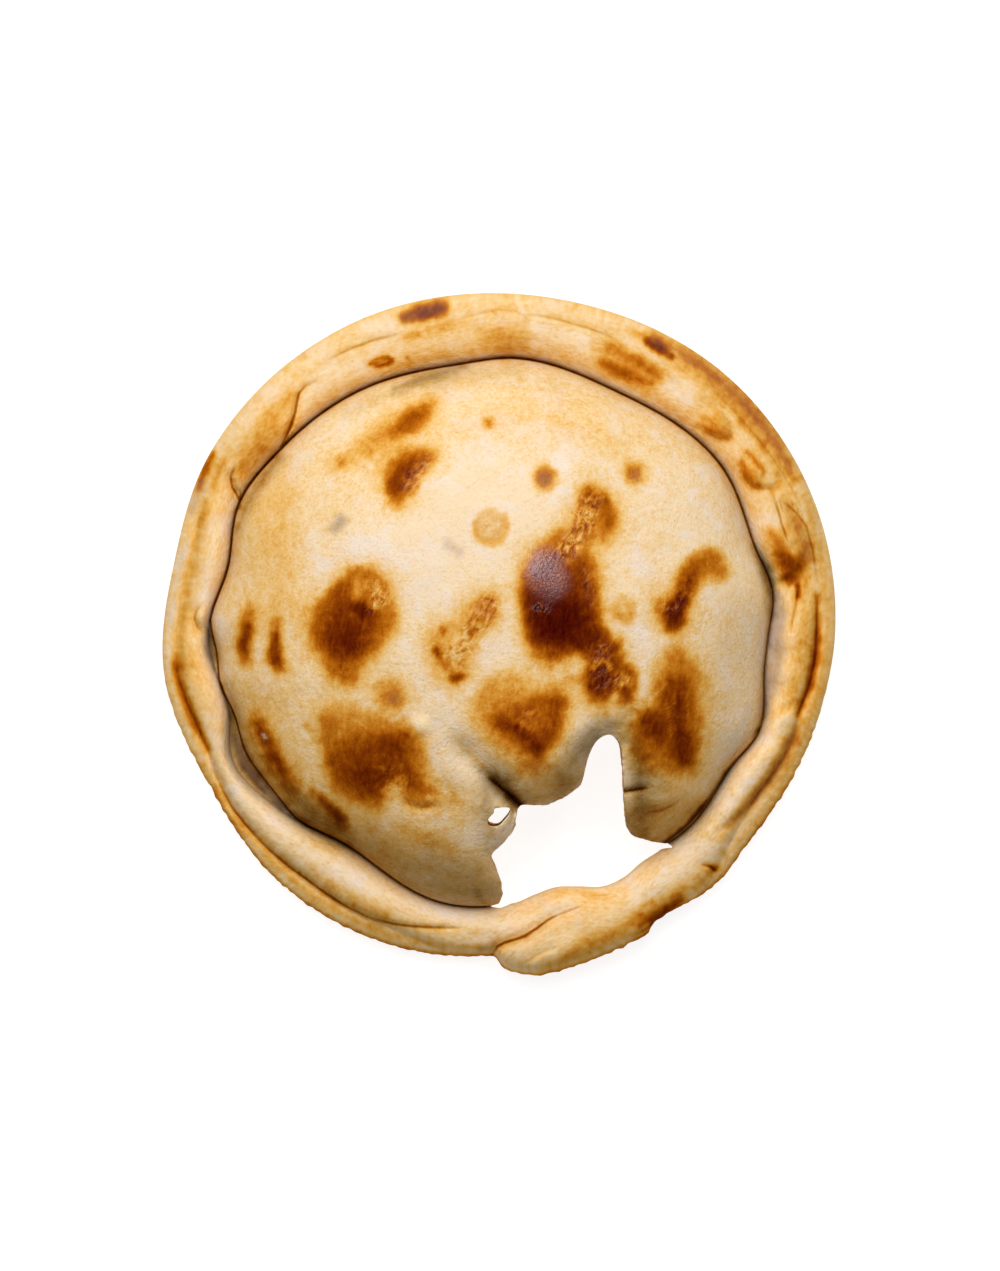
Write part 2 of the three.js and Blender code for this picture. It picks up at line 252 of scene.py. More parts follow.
# Levels of the wall, and its crumb by amount and size of the lumps.
PLUG_TOP = PEAK + 4
WALL_TOP = 30.0
WALL_FOOT = 0.4
WALL_LEVELS = 42
PLUG_FOOT = -2.0
CRUMB_TOP = 29.0
CRUMB_RUN = 3.0
WALL_LUMPS = [(0.35, 2.2), (0.18, 0.9)]

# The small hole beside the mouth.
EYELET = [
    (-0.7, -32.7), (-1, -33.6), (-2, -34.7), (-1.9, -36), (-0.2, -36.1), (1, -35), (2, -33.6), (1.8, -32.6),
]
EYELET_SEEN_AT = 20.0
EYELET_SIDES = 40
EYELET_LEVELS = (PEAK, 24, 18, 12, 6, PLUG_FOOT)

# Scorched patches: strength, softness of the edge and outline.
BURN_PATCHES = [
    # The large burn right of the middle: all of it, its dark side and its heart.
    (0.28, 1.8, [
        (4.2, 10.6), (5, 13.6), (7.2, 16.4), (10, 18.4), (12.6, 20.4), (14.9, 21.4), (16.8, 20.2),
        (17.5, 17), (18.3, 13), (18.7, 8), (19.1, 4.6), (19.7, 1.4), (19, -1.6), (15.8, -3.6), (13, -3.8),
        (10, -4.6), (7.4, -3.6), (5.4, -0.8), (4.3, 4.4),
    ]),
    (0.44, 2.0, [
        (6, 11), (7.2, 13.2), (9.2, 14.6), (11.5, 14.4), (13.4, 13), (15.4, 15), (16.4, 13), (17.2, 9),
        (17.8, 5), (18.2, 1), (16.4, -1.4), (12.6, -2.4), (9.6, -2.6), (6.8, -1), (5.4, 3), (5.2, 8),
    ]),
    (0.76, 2.4, [
        (6.6, 6.6), (6.4, 3), (7.6, 0.2), (10.4, -1.2), (13.6, -0.4), (16, 1.6), (16.2, 4), (14.6, 6),
        (12, 7), (9.4, 7),
    ]),
    # The hook on top of it.
    (0.16, 1.4, [
        (15.9, 26), (16.4, 27.8), (17.8, 28.2), (20, 26.6), (21.4, 24), (21.8, 21.4), (20.8, 18.6),
        (19.6, 17.6), (18.6, 18.6), (17.4, 20.6), (15.6, 22), (14.8, 23.6),
    ]),
    # Its foot.
    (0.32, 1.4, [
        (15.8, -1.4), (19.4, 0.4), (21.6, -1.2), (22.6, -3.4), (24.2, -5.2), (25.4, -7.6), (25, -10.2),
        (23.6, -11.4), (22, -10.8), (20, -12.2), (18, -11.8), (17, -9.4), (17.2, -5.6), (15.8, -4),
    ]),
    (0.36, 1.5, [(17.4, -7), (20.6, -7), (21.6, -9), (20.8, -11), (19.2, -11.8), (17.5, -11)]),
    (0.32, 1.8, [
        (15.6, -0.8), (19, 0.6), (21.4, -1.6), (22, -4), (22.4, -6.6), (21.4, -8.6), (18, -8.6),
        (17.4, -5.6), (16.4, -3.4),
    ]),
    # The burn left of the middle.
    (0.3, 1.3, [
        (-35.5, 1.2), (-34.8, 4.2), (-33.2, 6.6), (-30.4, 10.1), (-28.2, 12.1), (-25.2, 12.7),
        (-23, 11.5), (-21.1, 8.8), (-19.8, 5), (-20.6, 0.8), (-23.8, -3.5), (-26.4, -6.4), (-28.7, -8.8),
        (-31.2, -7.9), (-33.2, -5.4), (-35, -1.6),
    ]),
    (0.36, 2.6, [
        (-30.8, 8), (-29.4, 9), (-28.6, 6.6), (-26, 5.4), (-23.8, 4.4), (-23.4, 2), (-25, -1.2),
        (-27, -4), (-29.4, -4.6), (-31.4, -3.4), (-32.6, 0), (-32.2, 4),
    ]),
    (0.44, 2.6, [(-30.8, 0.6), (-28, 1.4), (-26.4, 0), (-27.4, -2.6), (-29.4, -3), (-31, -1.8)]),
    (0.45, 1.0, [(-27.2, 5.4), (-25.6, 5.6), (-24.6, 4.6), (-26.2, 3.8)]),
    # The square burn at the lower left.
    (0.13, 1.5, [
        (-33.2, -15), (-32.4, -14.4), (-29.9, -14), (-25.7, -14.9), (-21.9, -15.3), (-17.8, -16.6),
        (-15.2, -19), (-14.4, -22), (-13.6, -26), (-12, -29.8), (-12.6, -31.6), (-16.2, -31.8),
        (-18, -30.2), (-19.4, -28.4), (-21.7, -30.2), (-23.2, -32.6), (-26.8, -31.4), (-29.2, -30.2),
        (-31.8, -26.8), (-33, -20),
    ]),
    (0.4, 2.8, [
        (-30.6, -22), (-28.6, -20), (-24, -19), (-20, -18.8), (-17.2, -20.4), (-16.2, -23), (-15.6, -27),
        (-15, -29.6), (-17, -29.6), (-19.4, -27.2), (-22, -29), (-23.6, -31), (-27, -30.2),
        (-29.4, -28.2), (-30.8, -25),
    ]),
    (0.3, 2.4, [(-28.2, -26), (-25, -24.2), (-21.5, -24.8), (-21, -27.4), (-24, -29.4), (-27, -29)]),
    (0.24, 1.8, [(-21.4, -20), (-18.4, -19.2), (-18.2, -22), (-20.6, -22.4)]),
    # The soft burn above the mouth.
    (0.16, 2.2, [
        (-3.4, -10.4), (-0.4, -8.8), (3, -8.8), (7, -10.6), (10, -9.8), (12.5, -11), (12.8, -14),
        (11.9, -18), (10.4, -21.3), (8, -24.4), (5.7, -24.4), (3.2, -22), (-0.4, -20), (-3.7, -18),
        (-5, -14),
    ]),
    (0.34, 2.0, [
        (-0.2, -14.8), (4, -13.5), (8, -12.2), (11.4, -12.4), (11.7, -16), (9.8, -20.2), (7.2, -22.8),
        (5, -21.5), (3, -19), (0.1, -17.8),
    ]),
    # The burn at the lower right.
    (0.18, 2.4, [
        (31.6, -4.4), (34.6, -4), (37.4, -6.4), (38.6, -11), (38.6, -17), (37.8, -23), (35.8, -25.8),
        (31, -25.4), (27.4, -23.6), (25.8, -20.3), (25.4, -17.5), (27, -15), (29.6, -13.2), (30, -10),
        (30.4, -7),
    ]),
    (0.4, 1.8, [
        (31.6, -10), (33, -8.4), (35, -8.8), (36.2, -11), (36.8, -16), (36.8, -21), (36.2, -24.2),
        (34.6, -24.2), (32.6, -22.2), (30, -20.4), (27.2, -19), (26.5, -16.8), (27.6, -15.2), (30, -14.4),
        (30.9, -11.5),
    ]),
    # The lower part of the hook at the right.
    (0.3, 1.4, [
        (30.3, 5.4), (31.2, 6.2), (33, 6.2), (34.8, 7), (35.4, 6), (35, 3), (34.2, 1.6), (32.6, 1.2),
        (31.4, 2.2), (30.3, 4.4),
    ]),
    # The small burn at the upper left, with its dark left edge.
    (0.3, 1.7, [
        (-21.4, 27.6), (-20.7, 31), (-18.3, 33.7), (-15.5, 34.9), (-12.7, 34.4), (-13.3, 32.5),
        (-15.2, 30), (-17.2, 26.7), (-18.9, 25.2), (-20.5, 25.7),
    ]),
    (0.34, 1.5, [(-21, 28), (-19.6, 31.4), (-17, 33.8), (-15.6, 33.4), (-17.8, 30), (-19.3, 26.8)]),
    # The wrinkled patch left of the middle and the tan one below it.
    (0.08, 1.4, [
        (-1, 7.8), (-0.2, 6), (-0.5, 3.5), (-2.2, 1.5), (-4.2, -0.5), (-5, -3.5), (-5.6, -6.5),
        (-6.8, -8.3), (-9, -9), (-11.2, -7.6), (-12.6, -4.5), (-13, -1), (-11.8, 1.2), (-9.4, 2.3),
        (-7.8, 3.9), (-4.8, 6.2),
    ]),
    (0.18, 1.6, [(-4, 6.5), (-1, 7), (-0.4, 4), (-2, 1.8), (-5, 0), (-6, 1.5), (-5, 4)]),
    (0.13, 1.6, [
        (-23, -11), (-21.5, -9.4), (-19, -9.8), (-18, -12), (-19, -13.8), (-20.5, -14), (-22, -12.8),
    ]),
]

# Scorched strokes: strength, softness of the edge, and a path of x, y and half width.
BURN_STROKES = [
    # The dark edge of the hook on top of the large burn.
    (0.26, 1.4, [
        (16.4, 26.2, 0.6), (17.8, 26.6, 0.8), (19.6, 25.2, 0.9), (20.9, 22.8, 0.9), (20.9, 20.6, 0.4),
    ]),
    # Ring beside it, and the dark rim of the disc below.
    (0.2, 1.8, [(23.6, 4.6, 1.2)]),
    (0.16, 1.1, [
        (21.8, 4.4, 0.1), (23, 2.8, 0.4), (24.6, 2.6, 0.4), (25.2, 4.2, 0.2), (25, 6, 0.2),
        (23.6, 6.8, 0.1), (22.2, 6, 0.1), (21.8, 4.4, 0.1),
    ]),
    (0.26, 1.0, [(24.6, -6.2, 0.5), (25.7, -7.8, 0.4), (25.2, -10, 0.4), (23.8, -11, 0.5)]),
    # The hook at the right.
    (0.4, 1.7, [
        (34.9, 7.6, 1.4), (36.2, 10.8, 1.8), (38, 13.2, 1.9), (40.2, 13.8, 1.7), (41.8, 12.2, 1.2),
    ]),
    (0.24, 1.2, [(34.8, 7.4, 0.4), (36.2, 10.4, 0.6), (37.4, 12.6, 0.4)]),
    (0.5, 1.1, [(34.2, 6.4, 0.5), (33.6, 4.4, 0.9), (33.2, 2.8, 0.9)]),
    (0.14, 2.2, [(33.6, 0.5, 0.6), (34, -3.5, 1.0)]),
    # Streaks at the left.
    (0.34, 1.6, [(-47.3, 4.6, 0.0), (-48, 1, 0.5), (-48.5, -2.5, 0.8), (-48.4, -4.4, 0.3)]),
    (0.4, 1.2, [(-47.9, 1.6, 0.0), (-48.4, -1, 0.3), (-48.5, -2.4, 0.4)]),
    (0.3, 1.5, [(-42.2, 2.6, 0.0), (-42.5, -0.5, 0.4), (-42.5, -3.5, 0.7), (-41.9, -5.8, 0.6)]),
    (0.42, 1.1, [(-42.4, 0, 0.0), (-42.6, -3, 0.3), (-42.2, -5, 0.3)]),
    (0.2, 2.0, [
        (-46.8, -15.5, 0.0), (-45, -19, 0.5), (-43, -22.5, 0.5), (-40.5, -26, 0.1), (-38.4, -28, 0.0),
    ]),
    (0.38, 1.2, [(-45.6, -17, 0.0), (-44.4, -20, 0.3), (-42.8, -22.8, 0.2), (-41, -25.6, 0.0)]),
    (0.2, 1.8, [(-35.4, -29.6, 0.0), (-32.2, -32.4, 0.6), (-29.8, -35.2, 0.2)]),
    (0.26, 1.0, [(-33.6, -31, 0.0), (-31.8, -33, 0.3), (-30.2, -34.8, 0.1)]),
    # Upper left: an orange streak with its honey halo, and two small spots.
    (0.3, 1.8, [(-19.2, 38.8, 0.6), (-17, 40.8, 1.2), (-14.2, 42.8, 0.8)]),
    (0.18, 2.4, [(-31, 32, 0.6), (-26, 35.5, 1.2), (-21, 38.5, 1.8), (-15, 42, 2.0), (-12.5, 44, 0.6)]),
    (0.2, 1.2, [(-30, 32.8, 0.5)]),
    (0.2, 0.8, [(-24.6, 34.2, 0.1)]),
    # Small spots.
    (0.28, 1.1, [(-2, 40.3, 0.2)]),
    (0.38, 1.5, [(8.7, 29.8, 1.5)]),
    (0.32, 1.6, [(25.8, 30.4, 1.2)]),
    (0.12, 2.2, [(24.8, 32, 0.8)]),
    (0.2, 0.8, [(-1.7, 20.8, 2.8)]),
    (0.18, 0.5, [
        (-4.6, 21, 0.0), (-4.4, 18.8, 0.1), (-3, 17.6, 0.2), (-1.2, 17.2, 0.2), (0.6, 18, 0.1),
        (1.6, 20, 0.1), (1.2, 23, 0.0),
    ]),
    (0.5, 0.7, [(-12, -3, 0.1), (-11.6, -3.6, 0.1)]),
    (0.5, 0.8, [(-8.6, -8.3, 0.2), (-7, -7.8, 0.1)]),
    (0.35, 0.6, [(-10.6, 1.2, 0.0), (-10.5, 0.6, 0.0)]),
    (0.2, 0.6, [(-11, -5, 0.0), (-9, -7.5, 0.0)]),
    # Darkest folds of the burn above the mouth and of the one at the lower right.
    (0.42, 1.6, [(0.2, -16.2, 0.2), (3, -17.8, 0.6), (5.4, -19.8, 0.4), (7, -21.6, 0.6)]),
    (0.2, 1.5, [(11.4, -13, 0.4), (10.6, -17, 0.6), (8.6, -20.6, 0.5)]),
    (0.32, 1.6, [(28.2, -16.8, 1.2), (29.8, -17.6, 1.0)]),
    (0.3, 1.3, [(34.2, -12, 0.1), (34.2, -16, 0.3), (34.8, -22.4, 0.8), (35.4, -23.6, 0.5)]),
    (0.18, 1.8, [(-20.2, -11.8, 0.8)]),
    # Golden left margin of the square burn, and honey below it.
    (0.26, 2.0, [(-32.4, -17, 0.6), (-32.4, -22, 1.0), (-31.6, -27, 1.0)]),
    (0.16, 2.0, [(-19.5, -36, 0.2), (-14, -38.5, 0.4), (-9.5, -40.5, 0.6)]),
]

# Scorched strokes on the rim, in the same way but by angle and radius.
RIM_BURNS = [
    # Top: the knob, the lilac scorch, a dark eye and its ring.
    (0.18, 2.0, rim((92, 56.5, 1.4), (86.5, 56.8, 2.0))),
    (0.44, 1.1, rim((106.4, 62.8, 1.0), (103, 63, 1.6), (100.2, 63.2, 1.4))),
    (0.3, 1.4, rim((103.4, 62.4, 0.8), (100.6, 62.6, 0.8))),
    (0.3, 0.9, rim((107.3, 59.4, 0.4), (105, 59.2, 0.5))),
    (0.2, 1.2, rim((103, 59.6, 0.5), (98.6, 59.8, 0.5))),
    (0.3, 0.9, rim((114.6, 56.7, 0.6), (112.2, 56.3, 0.6))),
    (0.5, 0.45, rim(
        (115.4, 57, 0.2), (114, 57.3, 0.2), (112, 56.9, 0.3), (111.2, 56, 0.3), (112.5, 55.7, 0.3),
        (114.6, 56.2, 0.3),
    )),
    (0.3, 0.5, rim((108.3, 55.5, 0.2))),
    # Upper right: two orange bands, a dark spot and the reddish outer band.
    (0.3, 1.1, rim((69.5, 55.3, 0.5), (66, 55, 0.9), (62, 55.2, 0.9), (58.8, 55.8, 0.5))),
    (0.26, 1.1, rim((69.3, 59, 0.4), (66, 58.5, 0.7), (62, 58.2, 0.6), (57.8, 57.4, 0.3))),
    (0.22, 2.2, rim((68.5, 56.8, 2.2), (60, 56.4, 2.2))),
    (0.2, 1.2, rim((64, 59.4, 0.4), (58, 58.4, 0.5))),
    (0.55, 0.8, rim((63.3, 62.4, 0.5), (60.5, 62.2, 0.8), (58, 62.3, 0.4))),
    (0.25, 1.2, rim((66, 63, 0.4), (60, 63.2, 0.8))),
    (0.4, 2.0, rim((62, 63.6, 0.6), (52, 64, 1.2), (42, 64, 1.3), (34, 63.8, 0.9), (28, 63.6, 0.2))),
    # The two raised blisters.
    (0.22, 1.4, rim((46.5, 56.8, 0.8), (44, 57, 1.4), (41.5, 57.4, 0.8))),
    (0.24, 0.9, rim((46.4, 54.9, 0.2), (44, 55.8, 0.7), (42.2, 56.6, 0.9), (40.8, 57.7, 0.5))),
    (0.14, 0.8, rim((49, 59.2, 0.4), (45, 59.2, 0.4), (41.5, 58.4, 0.3))),
    (0.36, 0.7, rim((36.4, 58.7, 0.3), (34, 59, 0.4), (31.8, 59.2, 0.3))),
    (0.2, 0.9, rim(
        (35.6, 56.6, 0.3), (33.5, 55.8, 0.6), (31, 56, 0.8), (29.4, 57.2, 0.5), (28.6, 58.8, 0.3),
    )),
    (0.26, 1.4, rim((35, 56.6, 0.6), (33, 56.8, 1.2), (30.6, 57.4, 1.0))),
    (0.2, 0.7, rim((30, 60.8, 0.3), (28.2, 60, 0.4), (27.6, 58.6, 0.3))),
    # Right: the flap, the scorched fold, and the brown line on the hem.
    (0.24, 1.6, rim((24, 59.6, 0.4), (20, 60.2, 1.2), (14, 60.8, 0.7))),
    (0.4, 1.9, rim((20.4, 55.2, 0.4), (17, 55.8, 1.4), (13.8, 56.8, 2.2), (11.8, 56.8, 1.6))),
    (0.42, 1.7, rim((15.4, 55.8, 0.7), (13.2, 56.2, 1.5), (11.4, 56, 1.1))),
    (0.5, 0.5, rim((9.3, 57.5, 0.3), (7.4, 57.4, 0.3))),
    (0.5, 0.9, rim(
        (7, 60.8, 0.2), (2, 60.6, 0.4), (-4, 60.3, 0.5), (-9, 59.8, 0.5), (-13, 59, 0.4),
        (-15, 58.7, 0.2),
    )),
    (0.28, 1.4, rim(
        (-16, 59.2, 0.2), (-22, 59, 0.4), (-28, 58.3, 0.6), (-34, 57.5, 0.4), (-40, 56.6, 0.1),
    )),
    # Front.
    (0.4, 0.6, rim((-47.4, 60.4, 0.4), (-47.6, 59.3, 0.2))),
    (0.62, 0.9, rim((-55.4, 61.2, 0.3), (-58.5, 61.1, 0.6), (-61.5, 61.3, 0.5), (-64, 61.3, 0.2))),
    (0.2, 1.5, rim((-54.5, 60, 0.5), (-59, 59.6, 0.9), (-64.5, 60, 0.5))),
    (0.3, 0.5, rim((-60, 58.3, 0.2), (-62, 58.3, 0.2))),
    # Lower left: gold on the hem and the roll, and the brown streak on the hem.
    (0.2, 1.7, rim((231.5, 57, 0.3), (237, 56.8, 0.8), (243, 57, 0.8), (248, 57.2, 0.4))),
    (0.34, 0.9, rim(
        (201, 59.2, 0.2), (197, 59.9, 0.5), (192, 60.8, 0.7), (187, 61.8, 0.5), (185, 62, 0.2),
    )),
    (0.22, 1.2, rim((202, 59.6, 0.5), (193, 60.6, 0.9), (184, 61.6, 0.5))),
    # Upper left: the edge and the flap.
    (0.45, 0.9, rim((154, 63.6, 0.4), (150.5, 64, 0.8), (147.4, 64.4, 0.4))),
    (0.28, 1.2, rim((152.5, 61, 0.5), (149.5, 61.6, 0.8), (147, 62, 0.4))),
    (0.24, 1.8, rim((147, 58.4, 1.0), (141, 58.8, 1.6), (136, 59.4, 1.4), (131, 60.2, 0.8))),
]

# Broad golden zones: the dome's as in the list of strokes, the rim's by angle and radius.
GOLDEN_ZONES = [
    # On the dome.
    (0.3, 10.0, [(-41, 24, 4), (-42, 6, 5)]),
    (0.18, 9.0, [(-20, 38, 4), (10, 42, 4), (24, 34, 4)]),
    (0.12, 9.0, [(26, 18, 5), (38, -4, 4)]),
    (0.2, 8.0, [(-40, -4, 3), (-38, -14, 3), (-26, -9, 3)]),
    (0.2, 8.0, [(-44, -26, 1), (-34, -33, 3), (-20, -40, 4), (-7, -36, 3), (-4, -44, 3)]),
    (0.26, 5.0, [(8, -29, 4), (13, -28, 3)]),
    (0.26, 5.0, [(28, -36, 4), (36, -33, 3)]),
    (0.05, 8.0, [(44, -16, 4)]),
    (0.16, 3.5, [(1, -7, 1.0), (12, -7, 1.5)]),
    (0.14, 3.5, [(-9, -12, 1.5)]),
    (0.2, 6.0, [(-30, 23, 2), (-23, 33, 2)]),
    (0.08, 6.0, [(5, 36, 2), (15, 36, 2)]),
    (0.26, 6.0, [(-47, -11, 2), (-45, -18, 3), (-40, -25, 3)]),
    (0.3, 3.0, [(15, -9, 1.5), (17, -13, 1.5)]),
    (0.24, 3.0, [(6.6, -4, 0.8), (13, -5.4, 1.0)]),
    (0.24, 3.0, [(22.6, -1.6, 1.0)]),
    (0.34, 2.6, [(22, -13, 1.5), (26, -12, 1.0)]),
    (0.24, 3.0, [(-0.6, -21, 1.0), (4, -24.4, 1.5)]),
    (0.24, 3.0, [(28, -22.6, 1.5)]),
    (0.2, 4.0, [(-8, -32, 2)]),
    (0.26, 1.4, [(-36.6, -17.2, 0.8), (-35.4, -19.8, 0.6)]),
    # On the rim.
    (0.22, 1.8, rim((135, 55.5, 0.3), (110, 54, 0.8), (90, 54, 1.0), (82, 53.8, 0.6))),
    (0.16, 1.8, rim((80, 53.8, 0.6), (50, 53.6, 0.8), (25, 53.6, 0.4))),
    (0.2, 1.4, rim((58, 61.3, 0.5), (30, 61.2, 0.6), (8, 59, 0.6), (-5, 57.5, 1.4), (-13, 56.8, 1.0))),
    (0.12, 2.5, rim((188, 59, 1.5), (176, 59.5, 1.5), (168, 58.5, 1.0))),
    (0.18, 1.2, rim((24, 63.4, 0.5), (8, 62.8, 0.8), (-6, 62, 0.8), (-20, 60.8, 0.7), (-44, 60.2, 0.5))),
    (0.2, 1.2, rim((-20, 57.8, 0.4), (-30, 57, 0.6), (-38, 56, 0.3))),
    (0.34, 2.2, rim(
        (-46, 60.6, 0.3), (-58, 60.4, 0.7), (-66, 60.6, 1.2), (-74, 61.4, 1.4), (-82, 63.4, 0.5),
    )),
    (0.2, 1.0, rim((204, 61, 0.4), (220, 61, 0.6), (240, 61, 0.7), (255, 60.3, 0.6), (266, 59.4, 0.4))),
    (0.1, 1.2, rim((206, 59.4, 0.2), (224, 59, 0.3), (240, 58.6, 0.4), (250, 58, 0.2))),
    (0.2, 2.0, rim((186, 60.5, 0.5), (176, 60, 0.5), (165, 59.8, 0.6), (156, 60.4, 0.6))),
    (0.14, 1.6, rim((149, 57, 0.9), (142, 56.4, 1.1), (136, 57, 0.9))),
]

# The hem at the left, which is paler and greyer.
LEFT_HEM = rim((178, 62.4, 0.6), (164, 61.8, 0.6))

# Paler places within the browned ones, some of them painted highlights, in the same way.
PALE_STROKES = [
    # On the dome, and within its burns.
    (0.5, 0.7, [(17.9, -6.4, 0.2), (18.6, -5.3, 0.35), (20.3, -5.1, 0.35), (21.4, -6.3, 0.2)]),
    (0.45, 0.9, [(24.1, -8.7, 1.0)]),
    (0.3, 1.0, [(-27, 10.8, 0.5), (-26.9, 8, 0.9)]),
    # Paler ridges in the burn left of the middle, partly painted glints.
    (0.45, 1.3, [(-24.4, 9.8, 0.6), (-22, 6.8, 0.9), (-23.6, 5.4, 0.4)]),
    (0.4, 1.0, [(17.3, 22.8, 0.7)]),
    (0.4, 0.7, [(23.6, 4.9, 0.4)]),
    (0.3, 0.8, [(14.2, 18.6, 0.4), (15.2, 15.6, 0.3)]),
    (0.34, 0.6, [(30.2, -11, 0.2), (31.5, -9.3, 0.2)]),
    (0.26, 0.5, [(32, -13, 0.1), (32.6, -19, 0.2)]),
    (0.26, 0.5, [(33.6, -8, 0.1), (33.2, -13, 0.2)]),
    (0.24, 0.5, [(35.8, -11, 0.1), (36, -18, 0.2)]),
    (0.3, 0.5, [(3.5, -16, 0.2), (5.5, -17.5, 0.2)]),
    (0.3, 0.5, [(5.5, -15, 0.3), (7.5, -14.6, 0.2)]),
    (0.34, 0.6, [(-22, -29.6, 0.3), (-20.2, -27.8, 0.3)]),
    (0.3, 0.5, [(-24, -25, 0.1), (-21.6, -25.4, 0.2)]),
    (0.5, 0.6, [(-13.4, -30.8, 0.4), (-12.8, -31.2, 0.3)]),
    (0.45, 3.0, [(46.6, 15, 1.0), (48, 4, 1.5), (47, -8, 1.5), (42.8, -20, 1.0)]),
    # On the rim.
    (0.9, 2.2, rim((264, 54.2, 1.0), (248, 53.6, 1.5), (235, 54, 1.8), (222, 55.4, 1.4), (210, 58, 0.6))),
    # Painted highlights on the crest of the roll at the lower right.
    (0.5, 1.8, rim((-16.5, 56, 1.0), (-24, 55, 1.2), (-34, 53.8, 1.3), (-50, 55, 2.0), (-62, 56, 1.8))),
    # Painted highlights on the crossing ends at the front.
    (0.4, 1.4, rim((-80, 60.8, 0.9), (-87, 61, 1.0))),
    (0.6, 1.5, rim((-74, 52.5, 1.2), (-85, 54.5, 1.4), (-94, 54, 1.4))),
    (0.24, 1.4, rim((8, 53.6, 0.5), (2, 53.2, 0.8), (-8, 52.6, 1.0), (-16, 52.4, 0.5))),
    # A painted highlight on the roll at the top.
    (0.7, 1.4, rim((83, 58.5, 0.8), (74, 58.3, 1.1))),
    (0.4, 1.6, rim((130, 58, 0.8), (118, 59, 1.0))),
    (0.4, 1.4, rim((56, 57, 0.6), (51, 57, 1.0))),
    (0.4, 1.2, LEFT_HEM),
    (0.6, 1.8, rim((172, 56, 1.0), (160, 57, 1.0))),
]

# Grey and lilac smudges, some of them painted shade, and cream flecks, some of them painted highlights, in
# the same way.
ASH_AND_PAINTED_SHADE_STROKES = [
    # On the dome.
    (0.9, 1.3, [(-31, 20.3, 0.8), (-30, 21.8, 0.9)]),
    (0.65, 1.5, [(-9.8, 17.2, 0.5), (-7.6, 15.8, 0.5)]),
    (0.5, 1.3, [(8.9, 29.6, 1.2)]),
    (0.4, 1.2, [(26, 30.2, 1.0)]),
    (0.14, 0.7, [(-1.7, 20.8, 2.9)]),
    (0.35, 1.2, [(-20, -12, 1.0)]),
    (0.4, 1.4, [(-33.4, -28.6, 0.6)]),
    (0.3, 1.0, [(-37.9, -10.4, 0.3)]),
    (0.25, 1.4, [(-40.5, -13, 0.6)]),
    # Painted shade on the lower flanks of the dome, left of, below and right of the mouth.
    (0.16, 5.0, [(-24, -39, 2), (-12, -42, 3)]),
    (0.25, 4.0, [(8, -29, 3), (13, -28, 2)]),
    (0.25, 4.0, [(27, -36, 3), (36, -33, 2)]),
    # On the rim and along its crevice.
    # A grey smudge at the dome's foot at the top, partly painted shade.
    (0.4, 1.6, rim((110, 50.6, 0.5), (100, 51, 0.5))),
    # Painted lilac shade on the rim's inner strip at the right.
    (0.74, 1.2, rim((8, 53.4, 0.6), (2, 53, 1.3), (-8, 52.6, 1.5), (-17, 52.4, 0.8))),
    (0.36, 1.8, rim((62, 63.4, 0.6), (48, 64.2, 0.9), (36, 64.2, 0.9), (30, 63.8, 0.3))),
    (0.4, 1.0, rim((106.4, 62.8, 1.0), (100.4, 63.2, 1.4))),
    (0.3, 1.2, rim((-16, 59.2, 0.2), (-28, 58.3, 0.6), (-40, 56.6, 0.1))),
    (0.25, 1.0, rim((56, 58.6, 0.6))),
    (0.5, 1.2, rim((158, 63, 0.5), (153, 63.4, 0.8))),
    (0.25, 1.2, rim((25, 59.4, 0.5), (20, 60.4, 1.0), (14, 60.8, 0.6))),
    (0.25, 1.2, LEFT_HEM),
    # Painted shade in the two pockets between the dome's foot and the rim.
    (0.9, 0.8, rim((222, 52, 0.2), (214, 53.2, 0.8), (207, 54.2, 1.1), (201, 53.9, 0.6))),
    (0.8, 0.8, rim((187, 54.6, 0.2), (183, 55.4, 0.6), (179, 55.2, 0.3))),
]
FLECKS_AND_PAINTED_HIGHLIGHTS = [
    # A broad painted highlight on top of the dome.
    (0.35, 9.0, [(-8, 27, 2), (2, 26, 2)]),
    (1.0, 0.6, [(-15.9, -16.2, 0.8), (-14.4, -16.9, 1.3), (-13.4, -17.6, 0.9)]),
    (0.8, 0.4, [(-20.3, -16.2, 0.2), (-19.2, -15.6, 0.3)]),
    (1.0, 0.4, [(-37.4, -18.4, 0.45), (-36.3, -19.3, 0.4)]),
    (1.0, 0.4, [(-44.8, -18.9, 0.1), (-44.4, -19.5, 0.15)]),
    (0.4, 0.5, rim((212, 53.2, 0.3), (216, 52.9, 0.5), (219.5, 52.7, 0.4))),
    # A painted highlight on the dough below the wedge left of the mouth.
    (0.35, 0.9, [(-3.6, -27.6, 0.3), (-2.4, -29.2, 0.5), (-1.2, -30.8, 0.3)]),
]
